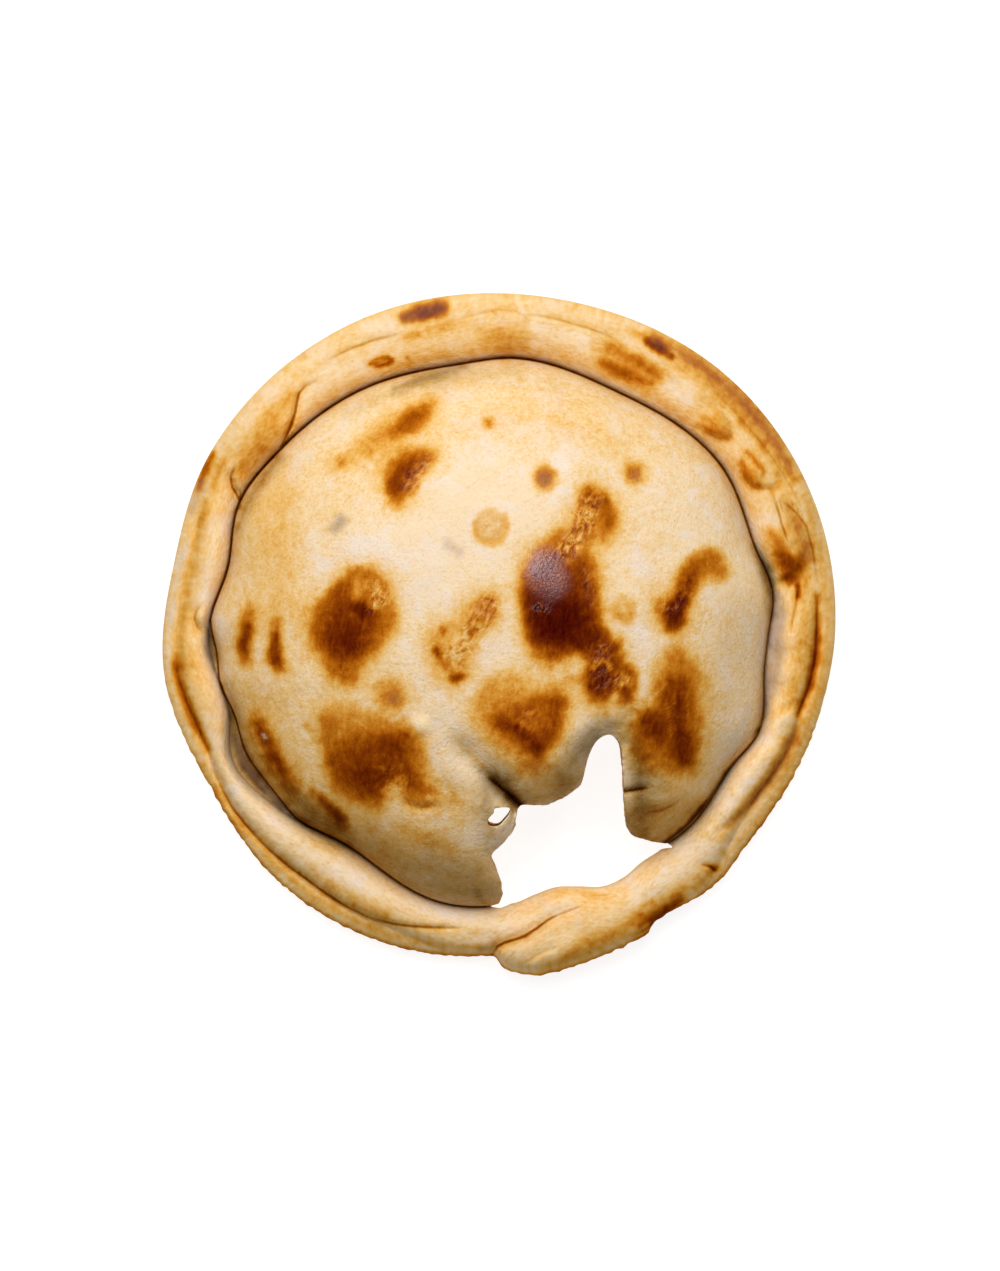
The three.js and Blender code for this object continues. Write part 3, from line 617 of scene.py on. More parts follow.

# Painted shade in clefts and shaded corners, in the same way.
PAINTED_SHADE_STROKES = [
    # Painted shade in the wedge left of the mouth and in the crack right of it.
    (0.98, 0.5, [(-2.2, -26.5, 0.0), (0.2, -28.5, 0.2), (2.4, -30.4, 0.5), (4.2, -32.3, 0.7)]),
    (0.66, 2.2, [(-1.4, -25.8, 0.2), (1.6, -28.2, 1.0), (4.4, -30.6, 1.4)]),
    (0.76, 1.5, [(-1.4, -27.8, 0.1), (0.8, -30.2, 0.7), (2.8, -32.4, 1.0)]),
    (0.5, 0.6, [(2.4, -33, 0.3), (2.2, -35.4, 0.3), (0.4, -37.4, 0.2)]),
    (0.95, 0.45, [(23.4, -29.6, 0.4), (25.8, -29.3, 0.3), (28, -28.9, 0.0)]),
    # Painted shade round the mouth and down the front of the dome.
    (0.5, 1.0, [(-4.6, -48.6, 0.2), (-3, -50.6, 0.5)]),
    (0.6, 2.0, [(24.6, -36, 0.6), (28, -38, 0.8)]),
    (0.35, 1.2, [(6, -31.4, 0.4), (11, -30.4, 0.4), (15, -27.6, 0.3)]),
    (0.62, 6.0, [(-37, -34, 2), (-20, -43, 2), (-5, -46, 3)]),
    (0.62, 3.0, [(-40.6, -28.6, 0.2), (-38, -31.2, 0.9), (-34.8, -33.4, 1.2), (-30, -36.4, 0.6)]),
    (0.46, 5.0, [(-10, -28, 1.0), (-4, -30, 2.0), (1, -27, 1.5)]),
    (0.7, 2.8, [(-8, -20, 0.2), (-4, -24, 0.8), (0, -27, 1.6)]),
    (0.56, 3.4, [(-2.4, -29, 1.0), (-1.6, -38, 1.6)]),
    (0.84, 3.6, [(25.4, -20.4, 0.6), (26.8, -26.4, 2.4), (27, -33, 2.4)]),
    (0.6, 3.4, [(31, -28, 1.6)]),
    (0.66, 3.4, [(12, -28, 1.6), (14.8, -22, 2.0), (18.8, -16.6, 1.0), (23, -16.4, 0.8)]),
    (0.5, 2.2, [(16, -22, 0.3), (18.4, -18.6, 0.5), (21, -17.2, 0.6), (23.4, -19.6, 0.6)]),
    (0.45, 3.0, [(24.4, -13, 0.6), (25, -19, 0.8)]),
    (0.5, 3.0, [(-18, -46.5, 0.6), (-8, -49, 0.8), (-1.5, -49, 0.8)]),
    (0.24, 7.0, [(44, 6, 3), (43, -12, 3)]),
    # Painted shade along the crevice and on the rim.
    (0.72, 1.8, rim((113, 50.8, 0.1), (106, 50.8, 0.7), (100, 51.2, 0.5), (97, 51.6, 0.1))),
    (0.26, 3.0, rim((124, 51, 0.6), (105, 49.6, 1.2), (86, 50.4, 0.6))),
    (0.7, 2.2, rim((158, 53.6, 0.2), (151, 53.8, 0.8), (141, 53.6, 0.5))),
    (0.7, 0.9, rim((224, 51.3, 0.3), (216, 52.4, 0.4), (207, 53, 0.5), (198, 53.4, 0.4), (190, 53.8, 0.2))),
    (0.8, 1.2, rim((222, 52.4, 0.3), (212, 54, 0.8), (206, 54.8, 0.8), (200, 54.2, 0.3))),
    (0.8, 0.8, rim((152.4, 55.6, 0.3), (153.8, 55, 0.3))),
    (0.14, 3.0, rim((104, 48.6, 1.0), (90, 49, 1.2), (76, 48.6, 1.0))),
    (0.6, 1.2, rim((238, 49.2, 0.1), (231, 50, 0.5), (223, 51.6, 0.7))),
    (0.6, 0.9, rim((188, 54.4, 0.1), (184, 54.8, 0.3), (179, 54.8, 0.2))),
    (0.35, 1.1, rim((9, 52.2, 0.2), (11, 53.4, 0.4), (11, 55.4, 0.2))),
    (0.5, 0.8, rim((22, 51.4, 0.1), (17, 51.4, 0.4), (12, 52, 0.3))),
    (1.0, 0.5, rim(
        (-27, 50.8, 0.0), (-31, 50.3, 0.3), (-38, 50.6, 0.4), (-46, 50.8, 0.5), (-53, 50.4, 0.4),
    )),
    (0.95, 0.5, rim((-17.6, 52.2, 0.0), (-20, 52.4, 0.4), (-22.6, 51.8, 0.0))),
    (0.3, 1.4, rim((-34, 49.6, 0.2), (-44, 49.6, 0.5), (-53, 49, 0.6))),
    (0.52, 2.6, rim((191, 52.4, 0.4), (205, 51, 0.8), (220, 49.8, 0.8), (234, 48, 0.4))),
    (0.84, 1.6, rim((19, 51.3, 0.2), (14, 52.4, 1.2), (9, 52.2, 1.0), (3, 51.8, 0.3))),
    (0.5, 1.5, rim((267, 59.8, 0.3), (270, 58.9, 0.6), (275, 57.4, 0.3), (279, 55.4, 0.1))),
    (0.36, 1.2, rim((226, 58.9, 0.2), (238, 58.7, 0.4), (248, 58.3, 0.4), (258, 57.2, 0.1))),
]

# Wrinkled skin, in the same way.
WRINKLES = [
    (1.0, 1.6, [(13, 16, 2.0), (15.5, 20, 2.0), (17.5, 25, 2.4)]),
    (0.5, 1.4, [(16.5, 12, 1.0), (17.5, 6, 0.6)]),
    (1.0, 0.8, [(7.4, 5.2, 0.9), (9, 5, 0.8)]),
    (0.75, 1.6, [(-2, 5.5, 2.2), (-8, -4, 2.4)]),
    (0.8, 1.6, [(19.5, -3, 2.0), (20, -9, 2.4), (24, -8.5, 1.6)]),
    (0.22, 2.0, [(3, -15, 2.6), (7, -19, 2.6)]),
    (1.0, 1.2, [(-23.8, 9.4, 1.0), (-22.4, 6.4, 1.6), (-24.6, 4.6, 0.8)]),
    (0.4, 1.4, [(-30, -6.6, 1.4)]),
    (0.9, 1.4, [(-17.4, 28.6, 1.4), (-14.6, 32.6, 1.2)]),
    (0.8, 1.4, [(31.6, 5, 1.2), (33.6, 4.6, 1.4), (36, 9.6, 0.8)]),
    (0.5, 1.6, [(-20, -28, 2.6)]),
    (0.35, 0.8, [(-1.7, 20.8, 2.4)]),
]

# Oily shoulder of the large burn, in the same way: glossier, and tinted lilac as a painted sheen.
GLOSS_AND_PAINTED_SHEEN = [(0.62, 2.2, [(8.2, 13.2, 3.2), (9.8, 10.2, 2.8)])]

# Browning of the rim, of the dome towards its foot, and of the outer edge, with painted shade making the edge
# darker on its lower side.
RIM_GOLD = 0.18
RIM_START = 0.04
EDGE_GOLD = 0.14
EDGE_START = 0.7
EDGE_BROWN = 0.06
LOWER_EDGE_BROWN_AND_SHADE = 0.36
LOWER_START = 8.0
LOWER_RUN = 30.0
EDGE_REACH = 1.1

# Spread of the scorched marks, the faint halo round them, and the unsteadiness of all edges.
BURN_SPREAD = 0.6
RIM_SPREAD = 0.1
HALO = 0.3
RIM_HALO = 0.08
HALO_REACH = 3.8
STROKE_HALO = 0.7
PATCH_HALO = 0.65
PATCH_MARGIN = 1.5
MARK_LUMPS = [(0.5, 3.5, 23.0), (0.45, 1.5, 29.0)]
STEADY = 0.0
UNSTEADY = 1.0
VERY_UNSTEADY = 2.0

# Painted shade: dark lines in the creases and the crevice, and browning beside them.
LINE_REACH = 1.2
GAP_REACH = 3.0
CREVICE_SPAN = (309.0, 628.0)
CREVICE_STEP = 3.0
CREVICE_SHADE = 0.9
SHADE_REACH = 0.9
SHADE_MOST = 0.14
SHADE_DEPTH = 5.0

# Painted shade in the crevice and in the gaps beside it.
CREVICE_PAINTED_SHADE = 0.36
CREVICE_SHADE_REACH = 0.7
SLOT_PAINTED_SHADE = 0.6
SLOT_MARGIN = 0.8
SLOT_START = 1.2

# Crumb of the torn wall: its start below the skin, where it is full, and how far out and down it goes.
TORN_START = 0.5
TORN_RUN = 1.5
TORN_MARGIN = 1.0
TORN_FOOT = 0.05

# Grain of the rolled rim.
GRAIN_RADIUS = 57.0
GRAIN_STRETCH = 0.55
GRAIN_RISE = 0.5

# Resolution of the crust and of smooth outlines.
DOME_CELLS = 212
RIM_RINGS = 38
FOOT_RINGS = 5
BASE_RINGS = 3
RING_DRIFT = 1.35
CURVE_STEPS = 40
PATCH_STEPS = 3
ROUNDING = 1e-7

# Blisters: their size, how wrinkled the dough is where they start and are common, and how level it is.
BLISTER_SPACING = 2.6
BLISTER_RADIUS = 1.9
BLISTER_HEIGHT = 0.3
BLISTER_SMALLEST = 0.55
BLISTER_SEED = 7
BLISTER_DENSITY = 400000.0
BLISTER_WRINKLE = (0.5, 0.7)
BLISTER_LEVEL = (0.1, 0.4)


def srgb(hex_colour):
    """Linear colour with alpha from an sRGB hex value."""
    channels = [int(hex_colour[i:i + 2], 16) / 255 for i in (1, 3, 5)]
    linear = [c / 12.92 if c <= 0.04045 else ((c + 0.055) / 1.055) ** 2.4 for c in channels]
    return (*linear, 1.0)


def smooth(x):
    """Soft step from 0 at 0 to 1 at 1."""
    t = np.clip(x, 0, 1)
    return t * t * (3 - 2 * t)


def around(stations):
    """Smooth closed function of the angle through its stations."""
    table = np.array(stations, float)
    angles = np.concatenate([table[-2:, 0] - 360, table[:, 0], table[:3, 0] + 360])
    values = np.concatenate([table[-2:, 1], table[:, 1], table[:3, 1]])
    slopes = np.zeros_like(values)
    slopes[1:-1] = (values[2:] - values[:-2]) / (angles[2:] - angles[:-2])

    def at(angle):
        turned = np.mod(angle, 360)
        i = np.searchsorted(angles, turned, side="right") - 1
        span = angles[i + 1] - angles[i]
        t = (turned - angles[i]) / span
        rest = 1 - t
        level = values[i] * rest * rest * (1 + 2 * t) + values[i + 1] * t * t * (3 - 2 * t)
        return level + span * t * rest * (slopes[i] * rest - slopes[i + 1] * t)

    return at


outer_edge = around(OUTER_EDGE)
crevice = around(CREVICE)
roll_top = around(ROLL_TOP)
roll_share = around(ROLL_SHARE)


def lumps(x, y, layers):
    """Smooth unevenness over the plan, from layers of noise with their amount, size and level."""
    total = np.zeros_like(x)
    for amount, size, level in layers:
        scale = 1 / size
        values = [noise.noise(Vector((a * scale, b * scale, level))) for a, b in zip(x, y)]
        total += amount * np.array(values)
    return total


def ragged_edge(angle):
    """The outline with the fine unevenness of the hem along its lower side."""
    radius = outer_edge(angle)
    x, y = polar(angle, radius)
    return radius + smooth(-y / RAGGED_REACH) * lumps(x, y, RAGGED_LUMPS)


def along_path(x, y, path):
    """Distance to a plan path, the side (left is positive), the place along it and its third column there."""
    points = np.array(path, float)
    distance = np.hypot(x - points[0, 0], y - points[0, 1])
    side = np.zeros_like(x)
    place = np.zeros_like(x)
    for i in range(len(points) - 1):
        ax, ay = points[i, :2]
        dx, dy = points[i + 1, :2] - points[i, :2]
        share = np.clip(((x - ax) * dx + (y - ay) * dy) / (dx * dx + dy * dy), 0, 1)
        ox, oy = x - ax - share * dx, y - ay - share * dy
        gap = np.hypot(ox, oy)
        closer = gap <= distance
        distance = np.where(closer, gap, distance)
        side = np.where(closer, np.sign(dx * oy - dy * ox), side)
        place = np.where(closer, i + share, place)
    third = np.interp(place, np.arange(len(points)), points[:, 2]) if points.shape[1] > 2 else 0.0
    return distance, side, place / max(1, len(points) - 1), third


def smooth_loop(points, count):
    """Evenly spaced points on a closed smooth curve through the given ones."""
    p = np.array(points, float)
    n = len(p)
    t = np.linspace(0, n, CURVE_STEPS * n, endpoint=False)
    i = t.astype(int)
    f = (t - i)[:, None]
    a, b, c, d = p[(i - 1) % n], p[i], p[(i + 1) % n], p[(i + 2) % n]
    bend = 2 * a - 5 * b + 4 * c - d
    twist = 3 * b - a - 3 * c + d
    curve = 0.5 * (2 * b + (c - a) * f + bend * f ** 2 + twist * f ** 3)
    closed = np.vstack([curve, curve[:1]])
    length = np.concatenate([[0], np.cumsum(np.hypot(*np.diff(closed[:, :2], axis=0).T))])
    where = np.linspace(0, length[-1], count, endpoint=False)
    return np.column_stack([np.interp(where, length, closed[:, k]) for k in range(p.shape[1])])


def outside(x, y, outline):
    """Distance to a smooth closed outline, negative inside it."""
    loop = smooth_loop(outline, PATCH_STEPS * len(outline))
    closed = np.vstack([loop, loop[:1]])
    distance = along_path(x, y, closed)[0]
    within = np.zeros(x.shape, bool)
    for (ax, ay), (bx, by) in zip(closed[:-1], closed[1:]):
        spans = (ay > y) != (by > y)
        if ay != by:
            within ^= spans & (x < ax + (y - ay) * (bx - ax) / (by - ay))
    return np.where(within, -distance, distance)


def near(x, y, points, reach):
    """Which places lie within reach of the box around some points."""
    px = [p[0] for p in points]
    py = [p[1] for p in points]
    return (x > min(px) - reach) & (x < max(px) + reach) & (y > min(py) - reach) & (y < max(py) + reach)


def crease_fade(place):
    """A crease starts softly and ends a little less so."""
    return np.minimum(1, np.minimum(CREASE_RUN * place + CREASE_START, CREASE_RUN * (1 - place) + CREASE_END))


def crease_drop(x, y, creases):
    """What the creases take from the surface."""
    drop = np.zeros_like(x)
    for path, depth, width, lift, _ in creases:
        close = near(x, y, path, CREASE_REACH * width)
        distance, side, place, _ = along_path(x[close], y[close], path)
        fold = np.exp(-((distance / width) ** 2))
        raised = lift * side * (1 - fold) * np.exp(-distance / (LIFT_REACH * width))
        drop[close] += crease_fade(place) * (depth * fold - raised)
    return drop


def bulge_rise(x, y, bulges):
    """What the soft bulges add to the surface."""
    return sum(rise * np.exp(-((x - bx) ** 2 + (y - by) ** 2) / size ** 2) for bx, by, rise, size in bulges)


def lip_drop(x, y):
    """How far the rounded lip of the mouth falls away."""
    distance, _, _, radius = along_path(x, y, MOUTH_LIP)
    inward = LIP_ROUND * np.clip(1 - distance / radius, 0, 1)
    return radius * (1 - np.sqrt(1 - inward * inward))


def pocket_gap(angle):
    """Width of the gap between the dome's foot and the rim."""
    turned = np.mod(angle, 360)
    gap = np.zeros_like(turned)
    for middle, half_span, depth in POCKETS:
        t = np.minimum(1, np.abs(turned - middle) / half_span)
        gap += depth * (1 - t * t) ** 2
    return gap


def arch(x):
    """Half of a superellipse, 1 in the middle and 0 at -1 and 1."""
    side = np.minimum(np.abs(x), 1)
    return (1 - side ** ROLL_FULLNESS) ** (1 / ROLL_FULLNESS)


def dome_height(x, y):
    """Height of the filled dome, and of the floor of the gaps beside it."""
    angle = np.degrees(np.arctan2(y, x))
    radius = np.hypot(x, y)
    gap = pocket_gap(angle)
    foot = crevice(angle) - gap
    inside = np.minimum(radius / foot, 1)
    share = np.minimum(1, radius / (DOME_RADIUS + (foot - DOME_RADIUS) * inside ** DOME_WAVE))
    fullness = (1 - share ** DOME_FLANK) ** DOME_SHOULDER
    relief = bulge_rise(x, y, DOME_BULGES) + lumps(x, y, DOME_LUMPS) - crease_drop(x, y, DOME_CREASES)
    relief = relief * np.minimum(1, DOME_RELIEF * fullness) - lip_drop(x, y)
    dome = np.maximum(SEAT, SEAT + (PEAK - SEAT) * fullness + relief)
    floor = SEAT + (POCKET_FLOOR - SEAT) * np.minimum(1, gap)
    return np.where(inside >= 1 - ROUNDING, floor, dome)


def rim_height(angle, share):
    """Height of the rim at a share of its width: the rolled dough, and the hem where that is higher."""
    line = SEAT + (EDGE - SEAT) * share
    cover = roll_share(angle)
    roll = (roll_top(angle) - (SEAT + EDGE) / 2) * arch(2 * np.minimum(1, share / cover) ** ROLL_LEAN - 1)
    hem = (HEM - EDGE) * arch(2 * (share - HEM_START) / (1 - HEM_START) - 1) * (share > HEM_START)
    x, y = polar(angle, crevice(angle) + (outer_edge(angle) - crevice(angle)) * share)
    relief = lumps(x, y, RIM_LUMPS) + bulge_rise(x, y, RIM_BULGES) - crease_drop(x, y, RIM_CREASES)
    return line + np.maximum(roll, hem) + relief * np.minimum(1, RIM_RELIEF * share * (1 - share))


def dome_grid():
    """Plan points of a square grid drawn out to a disc, with the dome's foot on its border, row by row."""
    steps = np.linspace(-1, 1, DOME_CELLS + 1)
    b, a = np.meshgrid(steps, steps, indexing="ij")
    wide = np.abs(a) >= np.abs(b)
    reach = np.where(wide, a, b)
    safe = np.where(reach == 0, 1, reach)
    turn = np.where(wide, (math.pi / 4) * b / safe, math.pi / 2 - (math.pi / 4) * a / safe)
    x, y = reach * np.cos(turn), reach * np.sin(turn)
    angle = np.degrees(np.arctan2(y, x))
    x, y = polar(angle, crevice(angle) * (1 - (1 - np.minimum(1, np.hypot(x, y))) ** RING_DRIFT))
    return x.ravel(), y.ravel()


def border_order():
    """Indices of the dome grid's border, anticlockwise from the corner at -135 degrees."""
    n = DOME_CELLS + 1
    bottom = list(range(n - 1))
    right = [i * n + n - 1 for i in range(n - 1)]
    top = [n * n - 1 - i for i in range(n - 1)]
    left = [(n - 1 - i) * n for i in range(n - 1)]
    return bottom + right + top + left


def rim_profile(angle):
    """Radius and height of each ring over the rim, round its foot and in under the base."""
    inner, outer = crevice(angle), ragged_edge(angle)
    rings = []
    for k in range(1, RIM_RINGS + 1):
        share = np.full_like(angle, (1 - math.cos(math.pi * k / RIM_RINGS)) / 2)
        rings.append((inner + (outer - inner) * share, rim_height(angle, share)))
    for k in range(1, FOOT_RINGS + 1):
        sweep = math.pi / 2 * k / FOOT_RINGS
        inset = FOOT_INSET * (1 - math.cos(sweep))
        rings.append((outer - inset, np.full_like(angle, EDGE * (1 - math.sin(sweep)))))
    for k in range(1, BASE_RINGS):
        rings.append(((outer - FOOT_INSET) * (1 - k / BASE_RINGS), np.zeros_like(angle)))
    return rings


def crust_shell():
    """Vertices and faces of the closed crust before it tears."""
    n = DOME_CELLS + 1
    x, y = dome_grid()
    points = [np.column_stack([x, y, dome_height(x, y)])]
    faces = [
        (r * n + c, r * n + c + 1, (r + 1) * n + c + 1, (r + 1) * n + c)
        for r in range(n - 1) for c in range(n - 1)
    ]
    previous = border_order()
    angle = np.degrees(np.arctan2(y[previous], x[previous]))
    sides = len(previous)
    count = n * n
    for radius, height in rim_profile(angle):
        points.append(np.column_stack([*polar(angle, radius), height]))
        ring = list(range(count, count + sides))
        for i in range(sides):
            j = (i + 1) % sides
            faces.append((previous[i], ring[i], ring[j], previous[j]))
        count += sides
        previous = ring
    points.append(np.zeros((1, 3)))
    faces += [(previous[i], count, previous[(i + 1) % sides]) for i in range(sides)]
    return np.concatenate(points), faces


def plan_centre():
    """Middle of the box around the outline, which is the part's origin."""
    angle = np.arange(0, 360, 1.0)
    x, y = polar(angle, outer_edge(angle))
    return np.array([(x.min() + x.max()) / 2, (y.min() + y.max()) / 2, 0.0])


PLAN_CENTRE = plan_centre()


def new_mesh(name, points, faces):
    """An object with a mesh of points in millimetres, moved to the part's origin."""
    mesh = bpy.data.meshes.new(name)
    mesh.from_pydata(((np.asarray(points) - PLAN_CENTRE) * MM).tolist(), [], faces)
    mesh.update()
    piece = bpy.data.objects.new(name, mesh)
    bpy.context.scene.collection.objects.link(piece)
    return piece


def loft(levels):
    """Closed mesh through loops of points, one above the other, from the top down."""
    sides = len(levels[0])
    faces = []
    for k in range(len(levels) - 1):
        for i in range(sides):
            j = (i + 1) % sides
            faces.append((k * sides + i, (k + 1) * sides + i, (k + 1) * sides + j, k * sides + j))
    last = (len(levels) - 1) * sides
    points = np.vstack([*levels, levels[0].mean(axis=0), levels[-1].mean(axis=0)])
    for i in range(sides):
        j = (i + 1) % sides
        faces.append((len(points) - 2, i, j))
        faces.append((len(points) - 1, last + j, last + i))
    return points, faces


def mouth_plug():
    """The space of the torn mouth, wider under the lips, with a ragged wall."""
    turns = np.linspace(*MOUTH_RIM, MOUTH_RIM_STEPS)
    rim_side = zip(*polar(turns, crevice(turns) + MOUTH_BITE))
    outline = [(x, y, 1.0) for x, y, _ in MOUTH_LIP] + [(x, y, 0.0) for x, y in rim_side]
    loop = smooth_loop(outline, MOUTH_SIDES)
    away = loop[:, :2] - np.array(MOUTH_HEART)
    away = away / np.hypot(*away.T)[:, None]
    weight = np.clip(loop[:, 2], 0, 1)
    levels = []
    for height in (PLUG_TOP, *np.linspace(WALL_TOP, WALL_FOOT, WALL_LEVELS), PLUG_FOOT):
        flare = MOUTH_FLARE * smooth((FLARE_TOP - height) / FLARE_RUN)
        crumb = lumps(*loop[:, :2].T, [(amount, size, height / size) for amount, size in WALL_LUMPS])
        shift = weight * (flare + crumb * smooth((CRUMB_TOP - height) / CRUMB_RUN))
        levels.append(np.column_stack([loop[:, :2] + away * shift[:, None], np.full(len(loop), height)]))
    return loft(levels)


def eyelet_plug():
    """The small hole beside the mouth."""
    loop = smooth_loop(plan(EYELET_SEEN_AT, *EYELET), EYELET_SIDES)
    return loft([np.column_stack([loop, np.full(len(loop), height)]) for height in EYELET_LEVELS])


def applied(piece):
    """The piece with its modifiers turned into a plain mesh."""
    bpy.context.view_layer.update()
    graph = bpy.context.evaluated_depsgraph_get()
    mesh = bpy.data.meshes.new_from_object(piece.evaluated_get(graph))
    old = piece.data
    piece.modifiers.clear()
    piece.data = mesh
    bpy.data.meshes.remove(old)
    return piece


def tear(crust, plugs):
    """Takes the plugs out of the crust."""
    for plug in plugs:
        cut = crust.modifiers.new(plug.name, "BOOLEAN")
        cut.operation = "DIFFERENCE"
        cut.solver = "MANIFOLD"
        cut.object = plug
    applied(crust)
    for plug in plugs:
        mesh = plug.data
        bpy.data.objects.remove(plug)
        bpy.data.meshes.remove(mesh)


def soft_cover(edge, soft):
    """1 well inside an edge of the given softness, a half on it and 0 well outside."""
    return smooth(0.5 - edge / (2 * soft))


def bare_share(x, y, wobble, strokes, patches=(), spread=0.0, halo=0.0):
    """What soft-edged strokes and patches leave uncovered, each in a wide faint halo if there is one."""
    bare = np.ones_like(x)
    around_it = np.zeros_like(x)
    for strength, soft, path in strokes:
        close = near(x, y, path, max(p[2] for p in path) + 2 * soft + HALO_REACH)
        distance, _, _, half_width = along_path(x[close], y[close], path)
        edge = distance - half_width - spread + wobble[close] * min(1.0, soft / 2)
        bare[close] *= 1 - strength * soft_cover(edge, soft)
        faint = min(1.0, 2 * strength) * smooth(STROKE_HALO - edge / (soft + HALO_REACH / 2))
        around_it[close] = np.maximum(around_it[close], faint)
    for strength, soft, outline in patches:
        close = near(x, y, outline, 2 * HALO_REACH + PATCH_MARGIN)
        edge = outside(x[close], y[close], outline) - spread + wobble[close]
        bare[close] *= 1 - strength * soft_cover(edge, soft)
        around_it[close] = np.maximum(around_it[close], smooth(PATCH_HALO - edge / (2 * HALO_REACH)))
    return bare * (1 - halo * around_it)


def even_bake_and_lower_shade(radius, inner, outer, forward):
    """What the even browning of the rim, of the dome's foot and of the outer edge leaves pale, with painted
    shade darkening the outer edge more on its lower side.
    """
    beyond = radius / inner
    bare = 1 - RIM_GOLD * smooth((beyond - 1) / RIM_START)
    bare *= 1 - EDGE_GOLD * smooth((beyond - EDGE_START) / (1 - EDGE_START)) * (beyond < 1)
    edge_brown_and_shade = EDGE_BROWN + (LOWER_EDGE_BROWN_AND_SHADE - EDGE_BROWN) * smooth((forward - LOWER_START) / LOWER_RUN)
    return bare * (1 - edge_brown_and_shade * smooth(1 - (outer - radius) / EDGE_REACH))


def crease_lines(x, y):
    """Signed distance to the nearest crease, the crevice among them, and how dark its painted shade line is.
    """
    turns = np.arange(*CREVICE_SPAN, CREVICE_STEP)
    foot = list(zip(*polar(turns, crevice(turns) - pocket_gap(turns))))
    gap = np.full_like(x, GAP_REACH)
    dark = np.zeros_like(x)
    for path, _, _, _, shade in [(foot, 0, 0, 0, CREVICE_SHADE)] + DOME_CREASES + RIM_CREASES:
        close = np.flatnonzero(near(x, y, path, GAP_REACH))
        distance, side, place, _ = along_path(x[close], y[close], path)
        nearest = distance < np.abs(gap[close])
        close = close[nearest]
        gap[close] = (side * distance)[nearest]
        dark[close] = (crease_fade(place) * shade * smooth(2 - 2 * distance / LINE_REACH))[nearest]
    return gap, dark


def crease_shade(x, y):
    """How far the dough is browned beside its creases, as painted shade."""
    shade = np.zeros_like(x)
    for path, depth, *_ in DOME_CREASES + RIM_CREASES:
        close = near(x, y, path, 4 * SHADE_REACH)
        distance, _, place, _ = along_path(x[close], y[close], path)
        most = min(SHADE_MOST, max(0, depth) / SHADE_DEPTH)
        soft = crease_fade(place) * most * np.exp(-((distance / SHADE_REACH) ** 2))
        shade[close] = np.maximum(shade[close], soft)
    return shade


def painted_crevice_shade(angle, radius, inner):
    """How far the crevice and the gaps beside it are darkened by painted shade."""
    gap = pocket_gap(angle)
    slot = np.exp(-(((radius - inner + gap / 2) / (gap / 2 + SLOT_MARGIN)) ** 2)) * smooth(gap / SLOT_START)
    crack = np.exp(-(((radius - inner) / CREVICE_SHADE_REACH) ** 2))
    return np.maximum(CREVICE_PAINTED_SHADE * crack, SLOT_PAINTED_SHADE * slot)


def put(mesh, name, values):
    """Stores a number or a vector for each point."""
    values = np.asarray(values, np.float32)
    kind, field = ("FLOAT", "value") if values.ndim == 1 else ("FLOAT_VECTOR", "vector")
    layer = mesh.attributes.new(name, kind, "POINT")
    layer.data.foreach_set(field, values.ravel())


def paint(crust):
    """Stores on the crust how brown, grey, flecked, wrinkled, shiny, torn and creased it is, with its painted
    shade, painted highlights and painted sheen.
    """
    mesh = crust.data
    points = np.zeros(len(mesh.vertices) * 3, np.float32)
    mesh.vertices.foreach_get("co", points)
    x, y, z = (points.reshape(-1, 3) / MM + PLAN_CENTRE).T.astype(float)
    angle = np.degrees(np.arctan2(y, x))
    radius = np.hypot(x, y)
    inner, outer = crevice(angle), outer_edge(angle)
    # Higher points are nearer to the eye, so they are seen further out.
    nearer = 1 / (1 - z / VIEW_HEIGHT)
    seen_x, seen_y = x * nearer, y * nearer
    wobble = lumps(seen_x, seen_y, MARK_LUMPS)

    def bare_of(strokes, unsteady=UNSTEADY, *more):
        return bare_share(seen_x, seen_y, unsteady * wobble, strokes, *more)

    bare = bare_of(BURN_STROKES, UNSTEADY, BURN_PATCHES, BURN_SPREAD, HALO)
    bare *= bare_of(RIM_BURNS, UNSTEADY, (), RIM_SPREAD, RIM_HALO)
    bare *= bare_of(GOLDEN_ZONES, VERY_UNSTEADY)
    bare *= even_bake_and_lower_shade(radius, inner, outer, -seen_y)
    bare *= 1 - crease_shade(x, y)
    put(mesh, "brown", (1 - bare) * bare_of(PALE_STROKES))
    put(mesh, "ash_and_painted_shade", 1 - bare_of(ASH_AND_PAINTED_SHADE_STROKES))
    put(mesh, "fleck_and_painted_highlight", 1 - bare_of(FLECKS_AND_PAINTED_HIGHLIGHTS, STEADY))
    put(mesh, "wrinkle", 1 - bare_of(WRINKLES))
    put(mesh, "gloss_and_painted_sheen", 1 - bare_of(GLOSS_AND_PAINTED_SHEEN))

    share = (radius - inner) / (outer - inner)
    skin = np.where(share <= 0, dome_height(x, y), rim_height(angle, np.clip(share, 0, 1)))
    torn = smooth((skin - z - TORN_START) / TORN_RUN) * (radius < inner + TORN_MARGIN) * (z > TORN_FOOT)
    put(mesh, "torn", torn)
    # The fold mark is painted shade: in the crevice, in the pockets beside it and in the shaded corners.
    put(mesh, "fold", np.maximum(painted_crevice_shade(angle, radius, inner), 1 - bare_of(PAINTED_SHADE_STROKES)) * (1 - torn))
    # Painted dark shade lines along the creases and the crevice.
    gap, dark = crease_lines(x, y)
    put(mesh, "line_gap", gap)
    put(mesh, "line", dark * (1 - torn))

    # The grain of the dough runs round the rim.
    on_rim = (radius > inner)[:, None]
    stretch = GRAIN_RADIUS * GRAIN_STRETCH / np.maximum(radius, 1)
    rolled = np.column_stack([x * stretch, y * stretch, radius - inner + GRAIN_RISE * z])
    put(mesh, "grain", np.where(on_rim, rolled, np.column_stack([x, y, z])) * MM)


